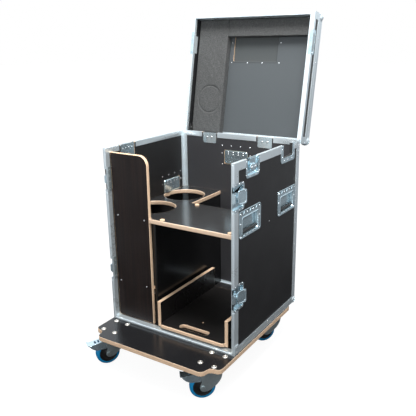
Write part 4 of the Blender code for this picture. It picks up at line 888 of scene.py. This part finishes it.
arm_low, arm_high = (BAIL_LOW - 0.003, BAIL_DEEP - 0.004), (BAIL_TOP + 0.004, BAIL_DEEP + 0.004)
arm_loop = round_rect(arm_low, arm_high, (0.0035,) * 4, 5)
for where, (side, along, up) in HANDLES.items():
    origin, axes = on_wall(side, along, up)
    inside_out = turned_round(axes)
    heads = TOP_RIVETS + OTHER_RIVETS
    dish = pressed("handle_dish_%s_pressed" % where, DISH, origin, axes, zinc, "case")
    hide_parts("handle_dish_" + where)
    rivets("handle_rivets_" + where, spots_at(heads, 0.0012, origin, axes), axes[2], "case", 0.0034, 0.0017)
    lift = 0.0 if side == "right" else 0.003
    backs = spots_at([(x, y + lift) for x, y in heads], -PLY - 0.0001, origin, axes)
    rivets("handle_rivet_backs_" + where, backs, -axes[2], "case", 0.0032, 0.0010)
    ribs("handle_ribs_" + where, RIBS, (0.0060, 0.0085, 0.0024), origin, axes, zinc, "case", 0.0010, 0.35)
    ribs("handle_low_ribs_" + where, LOW_RIBS, (0.0090, 0.0030, 0.0016), origin, axes, zinc, "case", 0.0010)
    knob = (0.0038, 0.0030, 0.0012)
    ribs("handle_knobs_" + where, KNOBS, knob, origin, inside_out, rivet_steel, "case", 0.0130)
    body = "bail_" + where
    middle = origin + np.array((0, BAIL_LOW, BAIL_DEEP)) @ axes
    grip = turned_at("grip_" + where, middle, axes[0], GRIP, 20, grip_rubber, body)
    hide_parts("handle_bail_" + where)
    spin = np.array((axes[1], axes[2], axes[0]))
    for number, lean in enumerate((-1, 1)):
        low = lean * BAIL_X - ARM_T / 2
        name = "bail_arm_%s_%d" % (where, number + 1)
        arm = local_board(name, arm_loop, low, low + ARM_T, 0.0006, origin, spin, zinc, body)
        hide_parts("handle_bail_" + where)

# Butterfly latches: a zinc dish open toward the edge it grips, a round boss with its hook, and a turning
# wing. The lid's point up on the side walls and the front cover's point forward to the front edge, where a
# strip inside the wall backs their rivets.


def span(start, thickness):
    """Both ends of a thickness laid from a start, the lower first, whichever way it runs."""
    return sorted((start, start + thickness))


LATCH_Z = {"lower": 0.233, "upper": 0.617}
WING_TILT = math.radians(-15.0)
DOOR_IN = 0.0363
BOSS = [(0.0, 0.0036), (0.0070, 0.0036), (0.0088, 0.0044), (0.0108, 0.0044), (0.0126, 0.0032),
        (0.0148, 0.0016), (0.0165, 0.0010), (0.0165, -0.0008), (0.0, -0.0008)]
BOSS_RING = [(0.0128, -0.0012), (0.0150, -0.0012), (0.0154, 0.0002), (0.0146, 0.0010), (0.0134, 0.0010),
             (0.0128, 0.0002)]
half_wing = smooth_through(((0.0, 0.0070), (0.0060, 0.0095), (0.0135, 0.0128), (0.0212, 0.0110),
                            (0.0252, 0.0040), (0.0232, -0.0040), (0.0150, -0.0080), (0.0065, -0.0130),
                            (0.0, -0.0150)), 4)
BUTTERFLY = np.concatenate([half_wing[1:-1], (half_wing * (-1, 1))[::-1]])
WING_PLATE = [(0.0180, 0.0150, -0.0225, 0.0040, 0.0012), (0.0215, 0.0175, -0.0225, 0.0060, 0.0012),
              (0.0230, 0.0190, -0.0225, 0.0070, 0.0026), (0.0252, 0.0212, -0.0225, 0.0080, 0.0028),
              (0.0268, 0.0224, -0.0225, 0.0084, 0.0018), (0.0268, 0.0224, -0.0225, 0.0084, 0.0002),
              (0.0180, 0.0150, -0.0225, 0.0040, 0.0001)]
EARS = [(-0.0130, 0.0010), (0.0130, 0.0010)]
STUDS = [(-0.019, -0.037), (0.019, -0.037)]
LATCH_RIVETS = [(x, y) for x in (-0.0475, 0.0475) for y in (-0.024, 0.0, 0.026)]
LATCH_RIVETS += [(-0.022, -0.0315), (0.022, -0.0315)]
LATCH_BACKS = [(x, 0.018) for x in (-0.030, -0.010, 0.010, 0.030)]
GUSSET = np.array([(0.0110, 0.0024), (0.0105, 0.0030), (-0.0190, 0.0100), (-0.0120, 0.0024)])


def door_axes(axes, sign):
    """Across and up turned a quarter about outward, so that the latch's top points forward past the edge."""
    turn = math.radians(90 * sign)
    across = math.cos(turn) * axes[0] + math.sin(turn) * axes[1]
    reach = -math.sin(turn) * axes[0] + math.cos(turn) * axes[1]
    return np.array((across, reach, axes[2]))


def lid_wing(name, origin, axes, wing):
    """A lid latch's wing: a flat butterfly on its boss with a raised ear on each side."""
    low, high = 0.0022, 0.0042
    plate = local_board("latch_butterfly_" + name, BUTTERFLY, low, high, 0.0007, origin, axes, zinc, wing)
    ribs("latch_ears_" + name, EARS, (0.0085, 0.0040, 0.0024), origin, axes, rivet_steel, wing, 0.0040)
    return plate


def door_wing(name, origin, axes, wing):
    """A door latch's wing: a pressed plate that stands up from the boss by its tilt, on a gusset."""
    up_axis = math.cos(WING_TILT) * axes[1] + math.sin(WING_TILT) * axes[2]
    out_axis = -math.sin(WING_TILT) * axes[1] + math.cos(WING_TILT) * axes[2]
    tilted = np.array((axes[0], up_axis, out_axis))
    hinge = origin + 0.0130 * axes[1] + 0.0020 * axes[2]
    plate = pressed("latch_butterfly_" + name, WING_PLATE, hinge, tilted, zinc, wing)
    edgewise = np.array((axes[1], axes[2], axes[0]))
    local_board("latch_gusset_" + name, GUSSET, -0.0040, 0.0040, 0.0008, origin, edgewise, zinc, wing)
    studs = spots_at(STUDS, 0.0018, hinge, tilted)
    rivets("latch_plate_studs_" + name, studs, out_axis, wing, 0.0026, 0.0010)
    return plate


def door_backing(name, sign, up):
    """The strip inside the wall, its rivets, and the covers on the wall's edge beside the dish."""
    strip = sign * (INSIDE_X - 0.0004)
    loop = round_rect((0.0065, up - 0.0500), (0.0215, up + 0.0500), (0.002,) * 4, 3)
    bar("latch_strip_" + name, loop, *span(strip, -sign * 0.0012), "X", 0.0003, dull_zinc, "case")
    spots = [(strip - sign * 0.0012, 0.0140, up + z) for z in (-0.036, -0.012, 0.012, 0.036)]
    home_rivets("latch_strip_rivets_" + name, spots, (-sign, 0, 0), 0.0026, 0.0009)
    across = sorted((sign * (HALF - 0.0118), sign * (HALF - 0.0004)))
    for end, low, high in (("low", up - 0.0549, up - 0.0420), ("high", up + 0.0420, up + 0.0549)):
        cover = round_rect((across[0], low), (across[1], high), (0.0003,) * 4, 2)
        bar("notch_cover_%s_%s" % (name, end), cover, 0.0008, 0.0017, "Y", 0.0001, aluminium, "case")


for side, sign in SIDES:
    latches = [("lid_" + side, 0.135, HEIGHT - 0.036)]
    latches += [("door_%s_%s" % (side, level), DOOR_IN, up) for level, up in LATCH_Z.items()]
    for name, along, up in latches:
        origin, axes = on_wall(side, along, up)
        dressed("latch_dish_" + name, zinc, 0.0004)
        wing = "wing_" + name
        if name.startswith("door"):
            axes = door_axes(axes, sign)
        hub = turned_at("latch_hub_" + name, origin, axes[2], BOSS, 32, zinc, wing)
        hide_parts("latch_wing_" + name)
        if name.startswith("door"):
            plate = door_wing(name, origin, axes, wing)
            door_backing(name, sign, up)
        else:
            plate = lid_wing(name, origin, axes, wing)
        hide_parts("latch_wing_" + name)
        heads = spots_at(LATCH_RIVETS, 0.0014, origin, axes)
        rivets("latch_rivets_" + name, heads, axes[2], "case", 0.0030, 0.0012)
        turned_at("latch_ring_" + name, origin, axes[2], BOSS_RING, 32, rivet_steel, "case")
        backs = spots_at(LATCH_BACKS, 0.0091, origin, turned_round(axes))
        rivets("latch_backs_" + name, backs, -axes[2], "case", 0.0028, 0.0010)

# Hinges: pressed zinc dishes let into the rear wall and riveted, with the lid's leaves turning on their pins.
# Inside, the foot of each dish shows as a plate below the rim.
HINGE_X = 0.1415
HINGE_RIVETS = ((-0.035, -0.0475), (0.035, -0.0475), (0.0, -0.0513))
# The hinge dishes take a lighter, less metallic copy of the zinc: painted light that makes them show brighter than
# the other zinc.
zinc_painted_lighter = metal("hinge zinc plate painted lighter", (0.82, 0.92, 0.95), (0.60, 0.74, 0.80), 0.20, 30.0, 0.70)
for side, sign in SIDES:
    dressed("hinge_dish_" + side, zinc_painted_lighter, 0.0004)
    spots = [(sign * HINGE_X + x, DEPTH - 0.0003, HEIGHT + z) for x, z in HINGE_RIVETS]
    home_rivets("hinge_rivets_" + side, spots, (0, 1, 0), 0.0028, 0.0010)
    spots = [(sign * HINGE_X + x, DEPTH - 0.0126, HEIGHT - 0.021) for x in (-0.012, 0.012)]
    home_rivets("hinge_backs_" + side, spots, (0, -1, 0), 0.0042, 0.0014)

# Lid: a thin tray of the same plywood and aluminium, with catches for its latches and a label recess. Its
# places are given by u, forward from the rear when shut, and w, up from its rim, and turned open at the pin.
pin = np.array(JOINTS["lid_hinge"]["pos_m"])
LID_OPEN = math.radians(101.0)
PIN_FROM_REAR = 0.0035
PIN_BELOW_RIM = 0.0138
LID_LONG = 0.545


def in_lid(x, u, w):
    """Turned by the open angle t about the pin, p from the rear and q below the rim.

    y = pin + (p - u) cos t + (w + q) sin t, z = pin - (p - u) sin t + (w + q) cos t.
    """
    ahead = PIN_FROM_REAR - np.asarray(u, dtype=float)
    above = np.asarray(w, dtype=float) + PIN_BELOW_RIM
    y = pin[1] + ahead * math.cos(LID_OPEN) + above * math.sin(LID_OPEN)
    z = pin[2] - ahead * math.sin(LID_OPEN) + above * math.cos(LID_OPEN)
    return np.stack([HOME[0] + np.broadcast_to(np.asarray(x, dtype=float), y.shape), y, z], axis=-1)


LID_UP = in_lid(0.0, 0.0, 1.0) - in_lid(0.0, 0.0, 0.0)
LID_AHEAD = in_lid(0.0, 1.0, 0.0) - in_lid(0.0, 0.0, 0.0)
lid_axis = tuple(float(v) for v in LID_UP)
LINING_W = 0.0767
lid_face = float(np.dot(in_lid(0.0, 0.0, LINING_W), LID_UP))
lid_film = film_faced("lid film", lid_axis, lid_face, (0.070, 0.079, 0.084), 0.50, 1.0, 0.25)
refinish("lid_panel", lid_film)
refinish("lid_band", film_faced("lid band film", (0, 0, 1), 0.0, (0.009, 0.009, 0.010), 0.40, 0.0))
# The label dish is coloured a dark grey film, not zinc.
label_black = film_faced("label recess dark grey", lid_axis, lid_face, (0.058, 0.065, 0.066), 0.46, 0.0, 0.25)
dressed("label_dish", label_black, 0.0003)
label_x, label_u = np.array(((-0.1218, 0.4331), (-0.1186, 0.3441), (-0.035, 0.3426), (0.0398, 0.3432),
                             (0.124, 0.3435), (0.124, 0.4314))).T
rivets("label_rivets", in_lid(label_x, label_u, LINING_W), -LID_UP, "lid", 0.0030, 0.0012)


def lid_bar(name, loop, low, high, axis, radius, finish):
    """A length of profile in the lid's own x, u and w, turned open with it."""
    made = board(name, [np.asarray(loop, dtype=float)], low, high, radius, axis, finish, "lid")
    points = np.empty(len(made.data.vertices) * 3)
    made.data.vertices.foreach_get("co", points)
    x, u, w = (points.reshape(-1, 3) - HOME).T
    made.data.vertices.foreach_set("co", in_lid(x, u, w).ravel())
    data = bmesh.new()
    data.from_mesh(made.data)
    bmesh.ops.recalc_face_normals(data, faces=data.faces)
    data.to_mesh(made.data)
    data.free()
    return made


# A thin black strip along the label recess's bottom and right edge is painted shadow, for the shade in the gap
# between dish and cut-out.
# The lid's sides carry the catches with their pockets and lips and a strip that covers the joint of band and frame,
# and the right one a ledge inside the rim.
shadow_gap_loop = np.array([(-0.1085, 0.3434), (0.1114, 0.3434), (0.1114, 0.4570), (0.1100, 0.4570), (0.1100, 0.3450),
                 (-0.1085, 0.3450)])
# Painted shadow: the gap strip takes the black finish of the port edging rubber.
lid_bar("label_shadow_gap", shadow_gap_loop, 0.0763, 0.0770, "Z", 0.0001, port_rubber)
CATCH_U = 0.420
LEDGE = 0.0060
ledge_x = HALF - 0.0131
ledge = [(ledge_x, 0.0002), (ledge_x - LEDGE, 0.0002), (ledge_x - LEDGE, 0.0016), (ledge_x, 0.0016)]
strip = round_rect((0.0020, 0.0430), (LID_LONG - 0.0020, 0.0592), (0.0005,) * 4, 2)
plate = round_rect((CATCH_U - 0.0500, 0.0006), (CATCH_U + 0.0500, 0.0300), (0.001, 0.001, 0.008, 0.008), 5)
hollow = round_rect((CATCH_U - 0.0350, 0.0000), (CATCH_U + 0.0350, 0.0210), (0.001, 0.001, 0.006, 0.006), 5)
CATCH_RIVETS = [(-0.043, 0.010), (0.043, 0.010), (-0.030, 0.0255), (0.030, 0.0255), (0.0, 0.0255)]
catch_u = [CATCH_U + u for u, w in CATCH_RIVETS]
catch_w = [w for u, w in CATCH_RIVETS]
LIP = ((HALF - 0.0128, -0.0002), (HALF + 0.0013, -0.0002), (HALF + 0.0013, 0.0016), (HALF - 0.0128, 0.0016))
edge_row = np.arange(0.060, 0.50, 0.0950)
for side, sign in SIDES:
    out = (sign, 0, 0)
    if side == "right":
        lid_bar("lid_ledge", ledge, 0.0135, LID_LONG - 0.0135, "Y", 0.0003, aluminium)
    lid_bar("lid_side_strip_" + side, strip, *span(sign * HALF, -sign * 0.0016), "X", 0.0004, aluminium)
    low, high = span(sign * (HALF - 0.0004), sign * 0.0018)
    lid_bar("lid_catch_plate_" + side, plate, low, high, "X", 0.0005, zinc)
    low, high = span(sign * (HALF + 0.0013), sign * 0.0007)
    lid_bar("lid_catch_pocket_" + side, hollow, low, high, "X", 0.0003, dull_zinc)
    lip = [(sign * x, w) for x, w in LIP]
    lid_bar("lid_catch_lip_" + side, lip, CATCH_U - 0.0500, CATCH_U + 0.0500, "Y", 0.0003, zinc)
    places = in_lid(sign * (HALF + 0.0014), catch_u, catch_w)
    rivets("lid_catch_rivets_" + side, places, out, "lid", 0.0028, 0.0012)
    rivets("lid_edge_rivets_" + side, in_lid(sign * HALF, edge_row, 0.0665), out, "lid", 0.0024, 0.0008)
    places = in_lid(sign * (HALF - 0.001), [LID_LONG - 0.012] * 2, [0.030, 0.055])
    rivets("lid_corner_rivets_" + side, places, out, "lid", 0.0026, 0.0016)
front_angle = [(LID_LONG - 0.0133, 0.0004), (LID_LONG - 0.0133, 0.0400), (LID_LONG - 0.0145, 0.0400),
               (LID_LONG - 0.0145, 0.0004)]
lid_bar("lid_front_angle", front_angle, -0.2862, 0.2862, "X", 0.0003, aluminium)
stop = [(0.0180, 0.0180), (0.0480, 0.0180), (0.0480, 0.0400), (0.0180, 0.0400)]
lid_bar("lid_stop_block", stop, -0.2864, -0.2790, "X", 0.0010, hub_black)
rivets("lid_stop_screw", in_lid([-0.2790], [0.033], [0.029]), (1, 0, 0), "lid", 0.0032, 0.0010)
for side, sign in SIDES:
    for end, u, way in (("rear", BALL_IN, -1), ("front", LID_LONG - BALL_IN, 1)):
        place = in_lid(sign * (HALF - BALL_IN), u, 0.088 - BALL_IN)
        diagonal = np.array((sign, 0, 0)) + way * LID_AHEAD + LID_UP
        ball_corner("lid_ball_%s_%s" % (end, side), place, diagonal, "lid")

# Foam: two pads of grey cut foam glued inside the lid, a long one down its left side and a short one along
# its front. What stands below has pressed a ring into the long pad and two short marks into the other.


def foam_material():
    """Cut foam: bright and dark specks of open cells, a slow mottle over them, soft and without gloss."""
    made, tree, shader, spot = material("grey foam")
    cells = add(tree, "TexVoronoi", Scale=420.0)
    tree.links.new(spot.outputs["Object"], cells.inputs["Vector"])
    fine = noise(tree, spot.outputs["Object"], 260.0, 4.0, 0.7)
    mottle = noise(tree, spot.outputs["Object"], 90.0, 3.0, 0.6)
    colour = mixed(tree, ramp(tree, fine, 0.30, 0.70), (0.030, 0.0315, 0.0315), (0.122, 0.125, 0.124))
    colour = mixed(tree, ramp(tree, mottle, 0.35, 0.65, 0.0, 0.5), colour, (0.062, 0.063, 0.063))
    tree.links.new(colour, shader.inputs["Base Color"])
    shader.inputs["Roughness"].default_value = 0.95
    shader.inputs["Specular IOR Level"].default_value = 0.2
    bumped(tree, shader, maths(tree, "ADD", cells.outputs["Distance"], fine), 0.0006, 0.8)
    return made


foam = foam_material()


def edged(low, high, radius, pitch):
    """Grid lines that crowd into the rounded edges: r (1 - cos a) from each end, an even pitch between."""
    a = np.linspace(0, math.pi / 2, 5)[:-1]
    ends = radius * (1 - np.cos(a))
    middle = np.linspace(low + radius, high - radius, max(2, int((high - low - 2 * radius) / pitch)))
    return np.concatenate([low + ends, middle, high - ends[::-1]])


def foam_pad(name, x_range, u_range, w_face, w_back, radius, dents):
    """A pad's face as a height over (x, u), its sides falling straight to its glued back.

    w = face + (r - root of r squared less the nearness to the border squared) + dents + a slow small wave.
    """
    xs = edged(*x_range, radius, 0.003)
    us = edged(*u_range, radius, 0.003)
    x, u = np.meshgrid(xs, us, indexing="ij")
    inside = np.minimum(np.minimum(x - xs[0], xs[-1] - x), np.minimum(u - us[0], us[-1] - u))
    near = np.clip(radius - inside, 0, radius)
    w = w_face + radius - np.sqrt(np.maximum(radius ** 2 - near ** 2, 0))
    for dent in dents:
        w = w + dent(x, u)
    wave = 0.0004 * np.sin(x * 61 + 1.0) * np.sin(u * 37) + 0.0002 * np.sin(x * 173 + u * 121)
    w = w + wave * (inside > radius)
    rows, cols = x.shape
    face = in_lid(x.ravel(), u.ravel(), w.ravel())
    index = np.arange(rows * cols).reshape(rows, cols)
    quads = np.stack([index[:-1, :-1], index[1:, :-1], index[1:, 1:], index[:-1, 1:]], axis=-1)
    border = np.concatenate([index[:, 0], index[-1, 1:], index[-2::-1, -1], index[0, -2:0:-1]])
    back = in_lid(x.ravel()[border], u.ravel()[border], w_back)
    under = rows * cols + np.arange(len(border))
    sides = np.stack([border, np.roll(border, -1), np.roll(under, -1), under], axis=-1)
    faces = quads.reshape(-1, 4).tolist() + sides.tolist() + [under.tolist()]
    pad = piece(name, np.concatenate([face, back]), faces, foam, "lid", 50.0)
    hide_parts("lid_foam")
    return pad


def ring_dent(x, u):
    """A groove round a circle: depth x e to the minus (distance from the circle / width) squared."""
    away = np.hypot(x + 0.200, u - 0.170) - 0.062
    return 0.0030 * np.exp(-(away / 0.0030) ** 2) + 0.0008 * (away < 0)


def line_dents(x, u):
    """Two short pressed marks, each a narrow box in (x, u), with a fainter line between them."""
    first = (np.abs(x - 0.0378) < 0.0015) & (np.abs(u - 0.5025) < 0.0125)
    second = (np.abs(x - 0.1446) < 0.0015) & (np.abs(u - 0.499) < 0.011)
    third = (np.abs(u - 0.4885) < 0.0012) & (x > 0.045) & (x < 0.1446)
    return 0.0022 * (first | second) + 0.0012 * third


FOAM_SPLIT = -0.1300
FOAM_FRONT = 0.5294
FOAM_SIDE = 0.2843
FOAM_BACK = 0.0745
FOAM_R = 0.0018
foam_pad("foam_long", (-FOAM_SIDE, FOAM_SPLIT), (0.0163, FOAM_FRONT), 0.0420, FOAM_BACK, FOAM_R, [ring_dent])
foam_pad("foam_short", (FOAM_SPLIT + 0.0014, FOAM_SIDE), (0.4560, FOAM_FRONT), 0.0424, FOAM_BACK, FOAM_R,
         [line_dents])

# Screws: pale countersunk heads where the inside boards are fixed, one in the right wall, and a wooden peg in
# the tray.
FACE_SCREWS = [(-0.263, 0.466), (-0.127, 0.464), (-0.267, 0.176), (-0.130, 0.176)]
spots = [(x, FACE_Y - 0.0001, z) for x, z in FACE_SCREWS]
home_rivets("face_screws", spots, (0, -1, 0), 0.0030, 0.0008)
home_rivets("wall_screw", [(HALF - SKIN, 0.2785, 0.4618)], (1, 0, 0), 0.0028, 0.0008)
home_rivets("tray_peg", [(0.090, 0.108, TRAY_Z + TRAY_T)], (0, 0, 1), 0.0036, 0.0010, "tray", peg_wood)

# Studio: a pale floor that the camera sees near white, and that reflections and bounced light see with painted
# shade and light: near black by the case, growing light with distance, and lighter to the front than to the rear; a
# plain white surround, three soft lamps, and the camera fitted to the case's corners.
WIDE = 30.0
floor_mesh = bpy.data.meshes.new("studio_floor")
floor_mesh.from_pydata([(-WIDE, -WIDE, 0), (WIDE, -WIDE, 0), (WIDE, WIDE, 0), (-WIDE, WIDE, 0)], [], [(0, 1, 2, 3)])
floor = bpy.data.objects.new("studio_floor", floor_mesh)
bpy.context.scene.collection.objects.link(floor)
made, tree, shader, spot = material("pale studio floor")
shader.inputs["Roughness"].default_value = 0.9
shader.inputs["Specular IOR Level"].default_value = 0.0
path = tree.nodes.new("ShaderNodeLightPath")
reach = add(tree, "VectorMath", operation="LENGTH")
tree.links.new(spot.outputs["Object"], reach.inputs[0])
# Painted shade and light on the floor for reflections and bounces: near black by the case, and farther out lighter
# at the front than at the rear.
far = ramp(tree, reach.outputs["Value"], 1.0, 4.4)
sides = tree.nodes.new("ShaderNodeSeparateXYZ")
tree.links.new(spot.outputs["Object"], sides.inputs["Vector"])
painted_light_front_rear = mixed(tree, ramp(tree, sides.outputs["Y"], -1.6, 1.2), (0.78, 0.80, 0.82), (0.44, 0.45, 0.47))
around = mixed(tree, far, (0.035, 0.036, 0.038), painted_light_front_rear)
seen = mixed(tree, path.outputs["Is Camera Ray"], around, (0.88, 0.88, 0.88))
tree.links.new(seen, shader.inputs["Base Color"])
glow = add(tree, "Emission", Strength=1.14)
blend = tree.nodes.new("ShaderNodeMixShader")
tree.links.new(maths(tree, "MULTIPLY", path.outputs["Is Camera Ray"], 0.80), blend.inputs["Fac"])
tree.links.new(shader.outputs["BSDF"], blend.inputs[1])
tree.links.new(glow.outputs["Emission"], blend.inputs[2])
tree.links.new(blend.outputs["Shader"], tree.nodes["Material Output"].inputs["Surface"])
floor_mesh.materials.append(made)

world = bpy.data.worlds.new("studio")
bpy.context.scene.world = world
world.use_nodes = True
tree = world.node_tree
background = tree.nodes["Background"]
path = tree.nodes.new("ShaderNodeLightPath")
spot = tree.nodes.new("ShaderNodeTexCoord")
split = tree.nodes.new("ShaderNodeSeparateXYZ")
tree.links.new(spot.outputs["Object"], split.inputs["Vector"])
shade = ramp(tree, split.outputs["Z"], -0.25, 0.15, 0.60, 1.15)
soft = mixed(tree, path.outputs["Is Glossy Ray"], (0.62, 0.63, 0.65), (0.9, 0.95, 1.0))
tint = mixed(tree, path.outputs["Is Camera Ray"], soft, (1.0, 1.0, 1.0))
tree.links.new(tint, background.inputs["Color"])
shade = maths(tree, "MULTIPLY", shade, ramp(tree, split.outputs["X"], 0.1, 0.8, 1.0, 0.85))
glossy = maths(tree, "MULTIPLY", path.outputs["Is Glossy Ray"], shade)
rest = maths(tree, "SUBTRACT", 1.0, path.outputs["Is Glossy Ray"])
tree.links.new(maths(tree, "ADD", glossy, rest), background.inputs["Strength"])


def lamp(name, place, target, size, power):
    """A round soft lamp, its size in metres and its power in watts, aimed at a target."""
    light = bpy.data.lights.new(name, "AREA")
    light.shape = "DISK"
    light.size = size
    light.energy = power
    thing = bpy.data.objects.new(name, light)
    bpy.context.scene.collection.objects.link(thing)
    thing.location = place
    thing.rotation_euler = (Vector(target) - Vector(place)).to_track_quat("-Z", "Y").to_euler()


lamp("overhead", (0.5, -0.4, 2.9), (0.0, 0.1, 0.6), 1.2, 98.0)
lamp("side", (3.2, -0.8, 1.9), (0.2, 0.0, 0.6), 1.0, 8.0)
lamp("front_fill", (0.9, -3.4, 1.9), (0.0, 0.0, 0.7), 1.4, 43.0)

CAMERA = Vector((1.2158, -1.8753, 1.2936))
YAW = math.radians(-32.62)
PITCH = math.radians(-16.58)
ROLL = math.radians(-0.737)
FOCAL_PX = 550.0
CENTRE_PX = (209.07, 206.16)
FRAME_PX = 416.0
forward = Vector((math.sin(YAW) * math.cos(PITCH), math.cos(YAW) * math.cos(PITCH), math.sin(PITCH)))
level = Vector((math.cos(YAW), -math.sin(YAW), 0.0))
upright = level.cross(forward)
right = math.cos(ROLL) * level + math.sin(ROLL) * upright
upward = -math.sin(ROLL) * level + math.cos(ROLL) * upright
camera_data = bpy.data.cameras.new("photo_camera")
camera_data.sensor_width = 36.0
camera_data.lens = FOCAL_PX / FRAME_PX * camera_data.sensor_width
camera_data.shift_x = (FRAME_PX / 2 - CENTRE_PX[0]) / FRAME_PX
camera_data.shift_y = (CENTRE_PX[1] - FRAME_PX / 2) / FRAME_PX
camera = bpy.data.objects.new("photo_camera", camera_data)
bpy.context.scene.collection.objects.link(camera)
camera.matrix_world = Matrix((
    (right.x, upward.x, -forward.x, CAMERA.x), (right.y, upward.y, -forward.y, CAMERA.y),
    (right.z, upward.z, -forward.z, CAMERA.z), (0, 0, 0, 1)))
bpy.context.scene.camera = camera
bpy.context.scene.view_settings.view_transform = "Standard"
